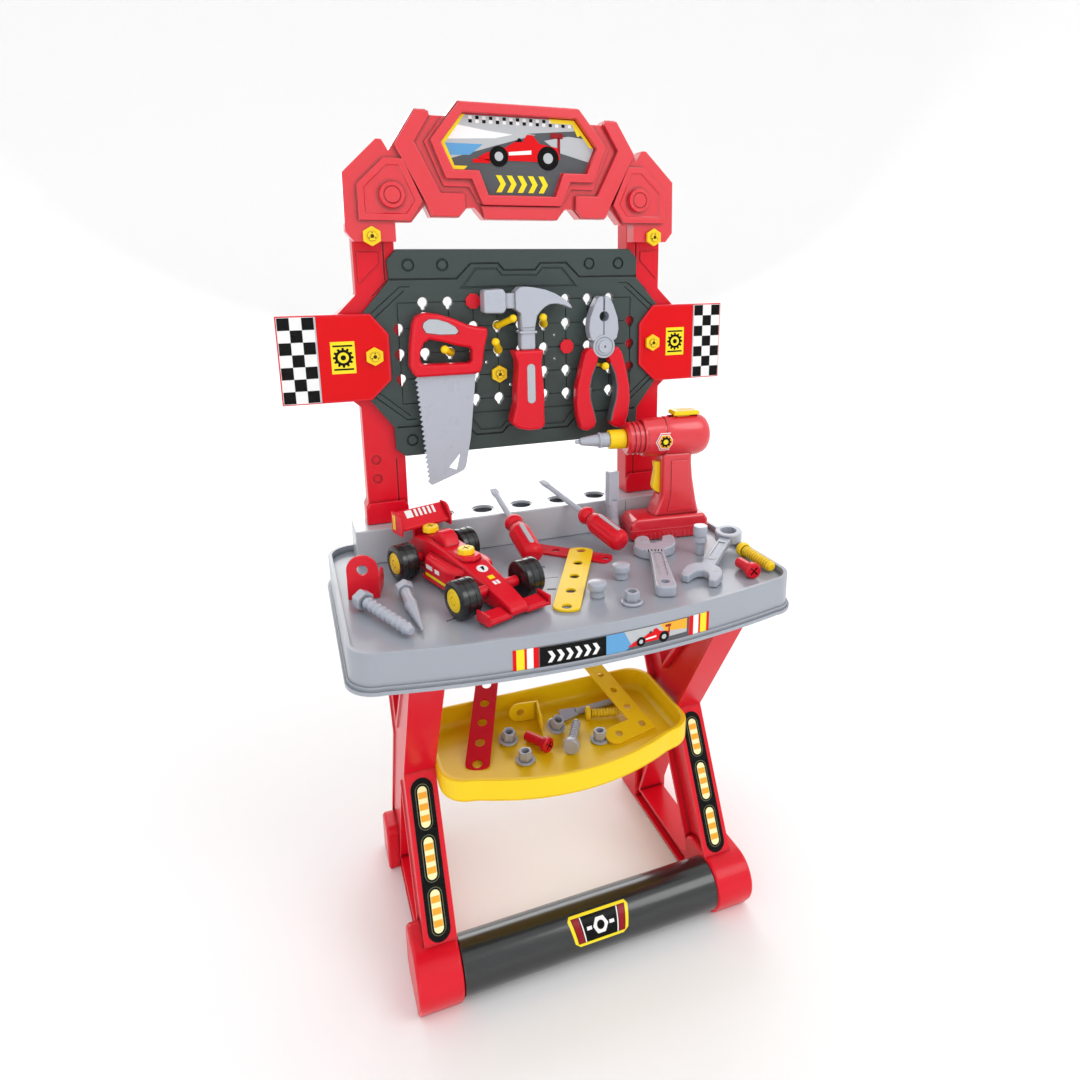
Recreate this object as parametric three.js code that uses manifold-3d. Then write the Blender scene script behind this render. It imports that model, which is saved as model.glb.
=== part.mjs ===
// Toy workbench with a pegboard, hung tools and loose parts.
// Millimetres, +Z up, +X to the viewer's right, -Y towards the viewer.
import * as THREE from 'three';
import { mergeVertices } from 'three/addons/utils/BufferGeometryUtils.js';
import Module from 'manifold-3d';

const wasm = await Module();
wasm.setup();

// ---- driving dimensions ----------------------------------------------------
const GAP = 0.3;                 // clearance between pieces that touch
const BACK_SHIFT = 123;          // puts the middle of the depth on y = 0

const HEAD_TOP = 976;            // top of the headboard
const POST_INNER = 150;          // inner face of the posts, from the middle
const POST_OUTER = 195;
const POST_DEEP = 30;
const POST_BOW = 238;            // outer edge of the posts beside the board
const BOARD_DEEP = 8;            // pegboard thickness
const PITCH = 30;                // peg hole spacing
const HOLE_R = 5.5;
const ROW_Z = 694;               // middle row of peg holes

const TABLE_HALF = 250;          // worktop half width
const TABLE_TOP = 448;           // rim
const TABLE_FLOOR = 440;         // surface inside the rim
const TABLE_LOW = 405;           // bottom of the skirt
const TABLE_BACK = 38;
const TABLE_FRONT = -259;        // front edge at the corners
const TABLE_BULGE = 25;          // extra depth at the middle of the front
const TABLE_WALL = 4.5;
const SHELF_TOP = 484;
const SHELF_FRONT = -22;
const SHELF_BACK = 34;
const SHELF_HALF = 218;

const FRAME_IN = 158.5;          // inner face of the side frames
const FRAME_OUT = 195;
const FOOT_OUT = 209;
const TUBE_R = 31;
const TUBE_Y = -235;
const TUBE_Z = 34;

const BIN_RIM = 238;             // lower tray rim height
const BIN_LOW = 207;
const BIN_HALF = 158;

const TOOL_Y = -22;              // middle plane of the hung tools

// ---- materials -------------------------------------------------------------
const mat = (hex, rough) =>
  new THREE.MeshStandardMaterial({ color: hex, roughness: rough, metalness: 0 });
const RED = mat(0xc8102e, 0.35);
const DARK = mat(0x2b3433, 0.5);
const GREY = mat(0x8e939b, 0.4);
const PALE = mat(0xb4b8be, 0.4);
const YELLOW = mat(0xf5cf10, 0.35);
const BLACK = mat(0x121416, 0.3);

// ---- helpers ---------------------------------------------------------------
function toSolid(geometry) {
  const g = geometry.index ? geometry.toNonIndexed() : geometry.clone();
  g.deleteAttribute('normal');
  g.deleteAttribute('uv');
  const m = mergeVertices(g, 1e-4);
  return new wasm.Manifold(new wasm.Mesh({
    numProp: 3,
    vertProperties: new Float32Array(m.attributes.position.array),
    triVerts: new Uint32Array(m.index.array),
  }));
}

function toGeometry(solid) {
  const m = solid.getMesh();
  const g = new THREE.BufferGeometry();
  g.setAttribute('position', new THREE.BufferAttribute(m.vertProperties, 3));
  g.setIndex(new THREE.BufferAttribute(m.triVerts, 1));
  g.computeVertexNormals();
  return g;
}

const join = (first, ...rest) =>
  toGeometry(rest.reduce((a, b) => a.add(toSolid(b)), toSolid(first)));
const cut = (first, ...rest) =>
  toGeometry(rest.reduce((a, b) => a.subtract(toSolid(b)), toSolid(first)));
const common = (first, second) =>
  toGeometry(toSolid(first).intersect(toSolid(second)));

const box = (x0, x1, y0, y1, z0, z1) =>
  new THREE.BoxGeometry(x1 - x0, y1 - y0, z1 - z0)
    .translate((x0 + x1) / 2, (y0 + y1) / 2, (z0 + z1) / 2);

const outline = (points) =>
  new THREE.Shape(points.map(([u, v]) => new THREE.Vector2(u, v)));

// Outline in x and z, thick along y from y0 (front) to y1 (back).
function frontPlate(points, y0, y1) {
  const g = new THREE.ExtrudeGeometry(outline(points), {
    depth: y1 - y0, bevelEnabled: false, curveSegments: 6,
  });
  return g.rotateX(Math.PI / 2).translate(0, y1, 0);
}

// Outline in x and y, thick along z.
function flatPlate(points, z0, z1) {
  const g = new THREE.ExtrudeGeometry(outline(points), {
    depth: z1 - z0, bevelEnabled: false, curveSegments: 6,
  });
  return g.translate(0, 0, z0);
}

// Outline in y and z, thick along x.
function sidePlate(points, x0, x1) {
  const g = new THREE.ExtrudeGeometry(outline(points), {
    depth: x1 - x0, bevelEnabled: false, curveSegments: 6,
  });
  const turn = new THREE.Matrix4().set(0, 0, 1, x0, 1, 0, 0, 0, 0, 1, 0, 0, 0, 0, 0, 1);
  return g.applyMatrix4(turn);
}

// Cylinder or prism between two points.
function rod(from, to, r0, r1 = r0, sides = 12) {
  const a = new THREE.Vector3(...from);
  const b = new THREE.Vector3(...to);
  const g = new THREE.CylinderGeometry(r1, r0, a.distanceTo(b), sides);
  const q = new THREE.Quaternion().setFromUnitVectors(
    new THREE.Vector3(0, 1, 0), b.clone().sub(a).normalize());
  return g.applyQuaternion(q).translate(...a.add(b).multiplyScalar(0.5).toArray());
}

// Turned shape: profile of [radius, height] with both ends on the axis.
function turned(profile, sides = 12) {
  const points = profile.map(([r, h]) => new THREE.Vector2(r, h));
  return new THREE.LatheGeometry(points, sides).rotateX(Math.PI / 2);
}

// Moves a turned shape so that its axis runs from one point towards another.
function along(geometry, from, to) {
  const a = new THREE.Vector3(...from);
  const d = new THREE.Vector3(...to).sub(a).normalize();
  const q = new THREE.Quaternion().setFromUnitVectors(new THREE.Vector3(0, 0, 1), d);
  return geometry.applyQuaternion(q).translate(...from);
}

const mirrored = (points) => points.map(([u, v]) => [-u, v]).reverse();
const halfToFull = (points) =>
  [...points, ...mirrored(points).filter(([u]) => u !== 0)];

const bench = new THREE.Group();
bench.position.y = BACK_SHIFT;

function put(name, geometry, material, parent = bench) {
  const mesh = new THREE.Mesh(geometry, material);
  mesh.name = name;
  parent.add(mesh);
  return mesh;
}

// ---- side frames -----------------------------------------------------------
// Crossed legs, joined by a rail on the floor, with a foot block at each end.
const legs = [
  [-242, 435], [-242, 394], [-146, 228], [-240, 50], [-240, 4], [22, 4], [22, 60],
  [-62, 232], [20, 388], [20, 435],
];
const lowGap = [[-192, 31], [-45, 31], [-106, 180]];
const topGap = [[-196, 390], [-104, 272], [-28, 390]];
const rearFoot = [[-30, 0], [24, 0], [24, 50], [10, 62], [-24, 62], [-30, 54]];
const frontFoot = [
  [-252, 0], [-195, 0], [-180, 7], [-178, 48], [-188, 60], [-214, 67], [-242, 66],
  [-260, 54], [-268, 34], [-264, 12],
];

for (const [side, s] of [['left', -1], ['right', 1]]) {
  const solid = join(
    cut(sidePlate(legs, FRAME_IN, FRAME_OUT),
      sidePlate(lowGap, FRAME_IN - 5, FRAME_OUT + 5),
      sidePlate(topGap, FRAME_IN - 5, FRAME_OUT + 5)),
    sidePlate(rearFoot, FRAME_IN, FOOT_OUT),
    sidePlate(frontFoot, FRAME_IN, FOOT_OUT));
  if (s < 0) solid.scale(-1, 1, 1);
  const frame = s < 0 ? toGeometry(toSolid(flip(solid))) : solid;
  put(`side_frame_${side}`, frame, RED);
}

// Turns the faces of a mirrored shape the right way out again.
function flip(geometry) {
  const index = geometry.index.array;
  for (let i = 0; i < index.length; i += 3) {
    [index[i], index[i + 1]] = [index[i + 1], index[i]];
  }
  return geometry;
}

put('front_tube', rod([-FRAME_IN + GAP, TUBE_Y, TUBE_Z], [FRAME_IN - GAP, TUBE_Y, TUBE_Z],
  TUBE_R, TUBE_R, 24), BLACK);

// ---- worktop ---------------------------------------------------------------
// Rounded rectangle whose front edge bows outwards.
function tableOutline(grow) {
  const half = TABLE_HALF + grow;
  const back = TABLE_BACK + grow;
  const front = TABLE_FRONT - grow;
  const r = 30 + grow;
  const points = [];
  const corner = (cx, cy, start) => {
    for (let i = 0; i <= 5; i += 1) {
      const a = start + (i / 5) * (Math.PI / 2);
      points.push([cx + r * Math.cos(a), cy + r * Math.sin(a)]);
    }
  };
  corner(half - r, back - r, 0);
  corner(-half + r, back - r, Math.PI / 2);
  corner(-half + r, front + r, Math.PI);
  for (let i = 1; i < 8; i += 1) {
    const t = (i / 8) * 2 - 1;
    points.push([t * (half - r), front - TABLE_BULGE * (1 - t * t)]);
  }
  corner(half - r, front + r, 1.5 * Math.PI);
  return points;
}

put('worktop', cut(
  join(flatPlate(tableOutline(0), TABLE_LOW, TABLE_TOP),
    flatPlate(tableOutline(4), TABLE_LOW, TABLE_LOW + 4)),
  flatPlate(tableOutline(-TABLE_WALL), TABLE_FLOOR, TABLE_TOP + 5),
  flatPlate(tableOutline(-TABLE_WALL), TABLE_LOW - 5, TABLE_FLOOR - 4)), GREY);

const shelfHoles = [];
for (let k = -2; k <= 2; k += 1) {
  shelfHoles.push(rod([k * 53, 8, SHELF_TOP - 8], [k * 53, 8, SHELF_TOP + 5], 12.5, 12.5, 16));
}
put('rear_shelf', cut(
  box(-SHELF_HALF, SHELF_HALF, SHELF_FRONT, SHELF_BACK - 2, TABLE_FLOOR + GAP, SHELF_TOP),
  box(-SHELF_HALF + 3, SHELF_HALF - 3, SHELF_FRONT + 3, SHELF_BACK - 5,
    TABLE_FLOOR - 5, SHELF_TOP - 3),
  ...shelfHoles), PALE);

// ---- lower tray ------------------------------------------------------------
function binOutline(inset, drop) {
  const half = BIN_HALF - inset;
  const back = -42 - inset;
  const front = -190 + inset + drop;
  const points = [];
  const corner = (cx, cy, r, start) => {
    for (let i = 0; i <= 5; i += 1) {
      const a = start + (i / 5) * (Math.PI / 2);
      points.push([cx + r * Math.cos(a), cy + r * Math.sin(a)]);
    }
  };
  corner(half - 30, back - 30, 30, 0);
  corner(-half + 30, back - 30, 30, Math.PI / 2);
  corner(-half + 34, front + 26, 34, Math.PI);
  for (let i = 1; i < 8; i += 1) {
    const t = (i / 8) * 2 - 1;
    points.push([t * (half - 34), front - 8 - 30 * (1 - t * t)]);
  }
  corner(half - 34, front + 26, 34, 1.5 * Math.PI);
  return points;
}

put('lower_tray', cut(flatPlate(binOutline(0, 0), BIN_LOW, BIN_RIM),
  flatPlate(binOutline(5, 0), BIN_LOW + 2.5, BIN_RIM + 5)), YELLOW);

// ---- posts -----------------------------------------------------------------
const postOutline = [
  [POST_INNER, SHELF_TOP + GAP], [POST_OUTER + 6, SHELF_TOP + GAP], [POST_OUTER + 6, 506],
  [POST_OUTER + 3, 512], [POST_OUTER + 3, 632], [POST_BOW, 668], [POST_BOW, 722],
  [POST_OUTER, 764], [POST_OUTER, 846], [POST_INNER - 2, 846],
];
put('post_right', frontPlate(postOutline, 0, POST_DEEP), RED);
put('post_left', frontPlate(mirrored(postOutline), 0, POST_DEEP), RED);

// ---- headboard -------------------------------------------------------------
const headHalf = [
  [0, HEAD_TOP], [72, HEAD_TOP], [86, 959], [104, 959], [108, 965], [121, 965],
  [147, 926], [151, 920], [158, 932], [164, 932], [202, 896], [203, 834], [194, 823],
  [148, 823], [148, 844], [130, 844], [114, 863], [108, 850], [75, 850], [65, 861],
  [56, 861], [45, 848], [0, 848],
];
const frameHalf = [
  [0, HEAD_TOP - 2], [71, HEAD_TOP - 2], [92, 950], [106, 933], [90, 892], [60, 892],
  [48, 864], [0, 864],
];
const windowHalf = [[0, 963], [68, 963], [94, 931], [81, 902], [51, 902], [41, 875], [0, 875]];
const earPlate = [[188, 846], [188, 884], [158, 912], [137, 912], [117, 867], [132, 846]];

const headSolid = cut(
  join(frontPlate(halfToFull(headHalf).reverse(), -20, -GAP),
    frontPlate(halfToFull(frameHalf).reverse(), -26, -19),
    frontPlate(earPlate, -25, -19), frontPlate(mirrored(earPlate), -25, -19),
    rod([151, -30, 873], [151, -24, 873], 14, 14, 16),
    rod([-151, -30, 873], [-151, -24, 873], 14, 14, 16)),
  frontPlate(halfToFull(windowHalf).reverse(), -30, -20));
put('headboard', headSolid, RED);

// ---- pegboard --------------------------------------------------------------
const boardHalf = [
  [0, 815], [148, 815], [159, 803], [158, 780], [203, 728], [203, 662], [162, 606],
  [161, 578], [150, 569], [0, 569],
];
const holes = [];
for (let k = -5; k <= 5; k += 1) {
  for (let row = -2; row <= 2; row += 1) {
    if (Math.abs(k) === 5 && Math.abs(row) === 2) continue;
    const [x, z] = [k * PITCH, ROW_Z - row * PITCH];
    holes.push(rod([x, 5, z], [x, -BOARD_DEEP - 5, z], HOLE_R, HOLE_R, 8));
  }
}
put('pegboard', cut(frontPlate(halfToFull(boardHalf).reverse(), -BOARD_DEEP, -GAP),
  ...holes), DARK);

// ---- side flags ------------------------------------------------------------
const flagOutline = [[162, 665], [162, 719], [182, 743], [285, 743], [285, 642], [186, 642]];
const FLAG_Y = -BOARD_DEEP - GAP;
put('flag_right', frontPlate(flagOutline, FLAG_Y - 4, FLAG_Y), RED);
put('flag_left', frontPlate(mirrored(flagOutline), FLAG_Y - 4, FLAG_Y), RED);

// ---- nuts and bolts on the frame and board ---------------------------------
const hexNut = (x, z, face, r = 11) =>
  join(rod([x, face, z], [x, face - 5, z], r, r - 1, 6),
    rod([x, face - 4.9, z], [x, face - 7, z], 5, 5, 8));
for (const [side, s] of [['left', -1], ['right', 1]]) {
  put(`head_nut_${side}`, hexNut(s * 175, 829, -20 - GAP), YELLOW);
  put(`flag_nut_${side}`, hexNut(s * 180, ROW_Z, FLAG_Y - 4 - GAP), YELLOW);
}
put('board_nut', hexNut(-PITCH, ROW_Z - PITCH, -BOARD_DEEP - GAP), YELLOW);

const boardBolt = (x, z) =>
  join(rod([x, -BOARD_DEEP - GAP, z], [x, -BOARD_DEEP - 6, z], 9.5, 9, 8),
    rod([x, -BOARD_DEEP - 1, z], [x, 2, z], 4.4, 4.4, 8));
put('board_bolt_upper', boardBolt(-2 * PITCH, ROW_Z + 2 * PITCH), RED);
put('board_bolt_lower', boardBolt(2 * PITCH, ROW_Z), RED);

// Hook: a stem in a peg hole, then an arm that rises to a rounded tip.
function hook(holeX, holeZ, tipX, tipZ) {
  const tip = [tipX, TOOL_Y - 9, tipZ];
  return join(
    rod([holeX, 3, holeZ], [holeX, -13, holeZ], 4, 4, 8),
    rod([holeX, -11, holeZ], tip, 4, 4, 8),
    new THREE.SphereGeometry(4.8, 8, 6).translate(...tip));
}
put('peg_saw_left', hook(-90, 694, -101, 700), YELLOW);
put('peg_saw_right', hook(-30, 694, -39, 706), YELLOW);
put('peg_hammer_left', hook(-30, 724, -16.5, 733.5), YELLOW);
put('peg_hammer_right', hook(30, 724, 22, 733.5), YELLOW);
// The pliers' hook runs sideways behind the handles before it comes forward.
put('peg_pliers', join(rod([120, 3, 664], [120, -10.8, 664], 2.8, 2.8, 8),
  rod([122, -10.8, 663.5], [102, -10.8, 668.5], 2.6, 2.6, 8),
  rod([104.5, -9.5, 668], [104.5, TOOL_Y - 10, 668], 4, 4, 8),
  new THREE.SphereGeometry(4.8, 8, 6).translate(104.5, TOOL_Y - 11, 669)), YELLOW);

// ---- saw -------------------------------------------------------------------
const sawGrip = [
  [-136, 668], [-143, 681], [-141, 705], [-136, 738], [-123, 744], [-87, 736], [-66, 726],
  [-46, 724], [-49, 712], [-55, 674], [-64, 668],
];
const sawHole = [[-130, 684], [-68, 682], [-68, 700], [-100, 708], [-118, 712], [-125, 706]];
const sawBlade = [[-134, 668 - GAP], [-124, 534], [-80, 551], [-72, 590], [-63, 668 - GAP]];
const sawNotch = [[-84, 573], [-102, 553], [-92, 548]];
put('saw_grip', cut(frontPlate(sawGrip, TOOL_Y - 9, TOOL_Y + 9),
  frontPlate(sawHole, TOOL_Y - 12, TOOL_Y + 12)), RED);
put('saw_blade', cut(frontPlate(sawBlade, TOOL_Y - 1.5, TOOL_Y + 1.5),
  frontPlate(sawNotch, TOOL_Y - 4, TOOL_Y + 4)), GREY);

// ---- hammer ----------------------------------------------------------------
const hammerHead = [
  [-51, 739.5], [-53, 743], [-53, 766], [-50, 769], [-28, 769], [-25, 765], [-14, 765],
  [-8, 771], [10, 770], [34, 764], [50, 755], [59, 744], [40, 750], [24, 747], [14, 737],
  [13, 695], [-10, 695], [-10, 739.5], [-14, 744], [-25, 744], [-28, 739.5],
];
const hammerGrip = [
  [-19, 695 - GAP], [-13, 679], [-16, 650], [-16, 629], [-23, 605], [-14, 597], [14, 592],
  [21, 598], [21, 640], [18, 678], [22, 695 - GAP],
];
const HAMMER_Y = -26;
put('hammer_head', frontPlate(hammerHead, HAMMER_Y - 11, HAMMER_Y + 11), GREY);
put('hammer_grip', frontPlate(hammerGrip, HAMMER_Y - 12, HAMMER_Y + 12), RED);

// ---- pliers ----------------------------------------------------------------
const PIVOT = [104, 694];
const jaw = [[0.4, 63], [0.4, 42], [4, 38], [0.4, 32], [0.4, 14], [8, 6], [19, 10], [20, 30],
  [8, 62], [3, 64]];
const handle = [[6, -6], [9, -22], [18, -40], [19, -62], [9, -99], [16, -108], [32, -108],
  [38, -80], [37, -52], [26, -8], [17, 2]];
const PLIERS_FRONT = TOOL_Y - 8;
const PLIERS_BACK = TOOL_Y + 8;
const pinAxis = (r, y0, y1, sides = 16) =>
  rod([PIVOT[0], y0, PIVOT[1]], [PIVOT[0], y1, PIVOT[1]], r, r, sides);
const at = (points) => points.map(([u, v]) => [PIVOT[0] + u, PIVOT[1] + v]);

function pliersHalf(jawSide, y0, y1) {
  const jawPoints = jawSide > 0 ? jaw : mirrored(jaw);
  const gripPoints = jawSide > 0 ? mirrored(handle) : handle;
  const clear = y0 === PLIERS_FRONT ? [y1 - GAP, PLIERS_BACK + 5] : [PLIERS_FRONT - 5, y0 + GAP];
  const arms = cut(
    join(frontPlate(at(jawPoints), PLIERS_FRONT, PLIERS_BACK), pinAxis(8, y0, y1),
      frontPlate(at(gripPoints), PLIERS_FRONT, PLIERS_BACK)),
    pinAxis(15.5, ...clear));
  return cut(join(arms, pinAxis(15, y0, y1)), pinAxis(4.3, PLIERS_FRONT - 5, PLIERS_BACK + 5));
}
put('pliers_half_fixed', pliersHalf(-1, TOOL_Y + GAP, PLIERS_BACK), GREY);
put('pliers_half_moving', pliersHalf(1, PLIERS_FRONT, TOOL_Y - GAP), GREY);
put('pliers_pivot', join(pinAxis(4, PLIERS_FRONT - 2, PLIERS_BACK + 1),
  pinAxis(8, PLIERS_FRONT - 2.5, PLIERS_FRONT - GAP)), GREY);

// ---- drill -----------------------------------------------------------------
// Built along x with the chuck towards -x, then turned a little and placed.
const drill = new THREE.Group();
const DRILL_AXIS = 576;
const drillBody = cut(
  join(
    frontPlate([[-48, 552], [-48, 599], [-18, 602], [-8, 604], [30, 604], [40, 598], [46, 587],
      [47, 574], [43, 558], [33, 548], [-24, 548]], -22, 22),
    frontPlate([[-22, 549], [20, 549], [22, 520], [32, 470], [-34, 470], [-22, 500]], -15, 15),
    box(-68, 42, -23, 23, TABLE_FLOOR + GAP, 471),
    rod([-70, 0, DRILL_AXIS], [-47, 0, DRILL_AXIS], 21.5, 22.5, 16)),
  rod([-80, 0, DRILL_AXIS], [-45, 0, DRILL_AXIS], 8.3, 8.3, 16),
  box(-24.5, -8, -5.3, 5.3, 497, 543.3),
  box(-12, 29, -7.3, 7.3, 598, 612));
put('drill_body', drillBody, RED, drill);
const chuck = new THREE.Group();
put('drill_chuck', join(rod([-92, 0, DRILL_AXIS], [-70 - GAP, 0, DRILL_AXIS], 12.5, 12.5, 16),
  rod([-72, 0, DRILL_AXIS], [-47, 0, DRILL_AXIS], 8, 8, 16)), YELLOW, chuck);
put('drill_nose', along(turned([[0, 0], [9.5, 0], [9.5, 12], [8, 14], [4.5, 38], [3, 38],
  [3, 44], [0, 44]], 16), [-92 - GAP, 0, DRILL_AXIS], [-200, 0, DRILL_AXIS]), PALE, chuck);
drill.add(chuck);
put('drill_trigger', frontPlate([[-24, 500], [-32, 506], [-29, 522], [-30, 543], [-14, 543],
  [-14, 497.4]], -5, 5), YELLOW, drill);
put('drill_slider', join(box(-6, 30, -11, 11, 604 + GAP, 610), box(0, 17, -7, 7, 599, 605)),
  YELLOW, drill);
drill.position.set(193, -60, 0);
drill.rotation.z = THREE.MathUtils.degToRad(-6);
bench.add(drill);

// ---- racing car ------------------------------------------------------------
// Built with its nose towards +x and the rear axle over the origin.
const car = new THREE.Group();
const WHEEL_R = 21;
const WHEELBASE = 129;
const TRACK = 41;
const carPlan = [
  [-30, -14], [10, -15], [24, -30], [82, -30], [96, -14], [150, -9], [172, -6], [172, 6],
  [150, 9], [96, 14], [82, 30], [24, 30], [10, 15], [-30, 14],
];
const carSide = [
  [-30, 8], [-30, 36], [-16, 44], [14, 48], [24, 58], [36, 58], [50, 44], [92, 38], [128, 28],
  [172, 14], [172, 5], [150, 5], [140, 8],
];
const carBody = cut(join(
  common(flatPlate(carPlan, 0, 80), frontPlate(carSide, -40, 40)),
  box(152, 174, -40, 40, 4, 8), box(152, 174, -40, -37, 4, 16), box(152, 174, 37, 40, 4, 16),
  rod([0, -27, WHEEL_R], [0, 27, WHEEL_R], 6, 6, 8),
  rod([WHEELBASE, -27, WHEEL_R], [WHEELBASE, 27, WHEEL_R], 6, 6, 8)),
...[0, WHEELBASE].flatMap((x) => [-1, 1].map((s) =>
  rod([x, s * 40, WHEEL_R], [x, s * 14, WHEEL_R], 3.3, 3.3, 8))),
rod([-6, 0, 40], [-6, 0, 60], 4.3, 4.3, 8), rod([72, 0, 36], [72, 0, 60], 4.3, 4.3, 8));
put('car_body', carBody, RED, car);
put('car_wing', join(box(-36, -30 - GAP, -10, 10, 26, 52), box(-37, -16, -34, 34, 50, 53),
  box(-37, -33, -34, 34, 50, 70), box(-37, -14, -34, -31.5, 46, 70),
  box(-37, -14, 31.5, 34, 46, 70)), RED, car);
for (const [name, x, s] of [['front_left', WHEELBASE, 1], ['front_right', WHEELBASE, -1],
  ['rear_left', 0, 1], ['rear_right', 0, -1]]) {
  const wheel = turned([[0, -14], [3, -14], [3, 0], [WHEEL_R - 1.5, 0], [WHEEL_R, 1.5],
    [WHEEL_R, 22.5], [WHEEL_R - 1.5, 24], [13, 24], [13, 22], [0, 22]], 20);
  put(`car_wheel_${name}`, along(wheel, [x, s * 29, WHEEL_R], [x, s * 99, WHEEL_R]), BLACK, car);
}
for (const [name, x, z] of [['rear', -6, 45.9], ['front', 72, 41.1]]) {
  put(`car_bolt_${name}`, join(rod([x, 0, z + 1], [x, 0, z + 8], 9, 8, 8),
    rod([x, 0, z - 4], [x, 0, z + 2], 4, 4, 8)), YELLOW, car);
}
car.position.set(-132, -66, TABLE_FLOOR + 3 * GAP);
car.rotation.z = THREE.MathUtils.degToRad(-71);
bench.add(car);

// ---- screwdrivers ----------------------------------------------------------
const gripProfile = [[0, 0], [9, 0], [13, 4], [14, 12], [14, 50], [10, 58], [10, 63], [12, 68],
  [9, 76], [0, 76]];
function screwdriver(name, butt, tip) {
  const length = new THREE.Vector3(...butt).distanceTo(new THREE.Vector3(...tip));
  const shaft = [[0, 76 + GAP], [3.6, 76 + GAP], [3.6, length - 12], [5, length - 8],
    [3, length], [0, length]];
  put(`${name}_grip`, along(turned(gripProfile, 10), butt, tip), RED);
  put(`${name}_shaft`, along(turned(shaft, 8), butt, tip), GREY);
}
screwdriver('screwdriver_small', [-22, -116, 458], [-35, 20, 505]);
screwdriver('screwdriver_large', [94, -116, 458], [35, 26, 507]);

// ---- loose tools and parts on the worktop ----------------------------------
// Each is drawn about its own origin, then turned and set down.
function loose(name, geometry, material, x, y, z, turn, tilt = 0) {
  const mesh = put(name, geometry, material);
  mesh.rotation.set(0, -THREE.MathUtils.degToRad(tilt), THREE.MathUtils.degToRad(turn), 'ZYX');
  mesh.position.set(x, y, z);
  return mesh;
}
const ON_TABLE = TABLE_FLOOR + GAP;

const wrenchPlan = [
  [0, -6], [8, -12], [110, -9], [122, -22], [148, -29], [163, -24], [158, -12], [140, -9],
  [134, 2], [134, 25], [124, 28], [112, 20], [106, 9], [8, 12], [0, 6],
];
const jawPlan = [[137, 4], [158, 6], [162, 12], [156, 22], [137, 25]];
const wrench = cut(flatPlate(wrenchPlan, 0, 13), rod([14, 0, -5], [14, 0, 20], 5, 5, 12));
loose('wrench_body', wrench, GREY, 90, -240, ON_TABLE, 69);
loose('wrench_jaw', flatPlate(jawPlan, 1, 12), GREY, 90, -240, ON_TABLE, 69);

const spannerPlan = [[14, -8], [100, -7], [100, 7], [14, 8]];
const spannerJaw = [[22, -10], [10, -22], [-14, -21], [-16, -11], [0, -8], [4, 0], [0, 8],
  [-16, 11], [-14, 21], [10, 22], [22, 10]];
const spanner = cut(join(flatPlate(spannerPlan, 1, 9), flatPlate(spannerJaw, 0, 10),
  rod([114, 0, 0], [114, 0, 13], 17, 17, 16)), rod([114, 0, -5], [114, 0, 20], 10, 10, 12));
loose('spanner', spanner, GREY, 150, -214, ON_TABLE + 1.4, 43, 4.6);

// Strip with evenly spaced holes and rounded ends.
function strip(count, pitch, width, thick) {
  const r = width / 2;
  const points = [];
  for (const [cx, start] of [[0, 0.5], [(count - 1) * pitch, 1.5]]) {
    for (let i = 0; i <= 4; i += 1) {
      const a = (start + i / 4) * Math.PI;
      points.push([cx + r * 0.6 * Math.cos(a), r * Math.sin(a)]);
    }
  }
  return cut(flatPlate(points, 0, thick), ...Array.from({ length: count }, (_, k) =>
    rod([k * pitch, 0, -5], [k * pitch, 0, 10], 5, 5, 10)));
}
loose('strip_red', strip(4, 34, 26, 3), RED, -4, -46, ON_TABLE, -43.5);
loose('strip_yellow', strip(5, 37, 30, 3), YELLOW, -22, -224, ON_TABLE + 0.2, 62.5, 1.8);

const bracket = cut(
  join(box(-17, 17, 0, 3, 0, 38), rod([0, 0, 34], [0, 3, 34], 17, 17, 16),
    box(14, 17, 0, 42, 0, 22)),
  rod([0, -5, 34], [0, 8, 34], 6, 6, 12), rod([10, 30, 11], [22, 30, 11], 5, 5, 12));
loose('bracket_red', bracket, RED, -221, -118, ON_TABLE, -14);

loose('socket_piece', join(turned([[0, 0], [13, 0], [13, 4], [7.5, 26], [7.5, 50], [0, 50]], 12),
  box(-8, 8, -5, 5, 49, 90)), GREY, 112, -40, ON_TABLE, 10);

// Bolt lying down: hexagonal head at the start, shank along the axis.
function bolt(name, material, from, to, head, thickness, shank, tipRadius) {
  const a = new THREE.Vector3(...from);
  const d = new THREE.Vector3(...to).sub(a).normalize();
  const neck = a.clone().addScaledVector(d, thickness);
  const start = a.clone().addScaledVector(d, thickness - 1);
  put(name, join(rod(from, neck.toArray(), head, head, 6),
    rod(start.toArray(), to, shank, tipRadius, 10)), material);
}
bolt('bolt_grey', GREY, [-227, -140, 452.4], [-187, -228, 448], 11, 12, 6.5, 6.5);
bolt('nail_grey', GREY, [-179, -128, 452], [-175, -222, 444], 10.5, 11, 6, 1.5);
bolt('bolt_yellow', YELLOW, [234, -166, 449.5], [236, -228, 448], 9, 8, 6.5, 6.5);
bolt('bolt_red', RED, [207, -234, 450], [209, -200, 448], 9.5, 8, 6.5, 6.5);
put('screw_standing', join(rod([188, -142, ON_TABLE], [188, -142, 470], 5.5, 5.5, 10),
  rod([188, -142, 456], [188, -142, 478], 9, 9, 10)), GREY);

export default bench;
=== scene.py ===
"""Toy workbench with a pegboard, hung tools and loose parts, in metres, +Z up, the viewer at -Y."""

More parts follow.
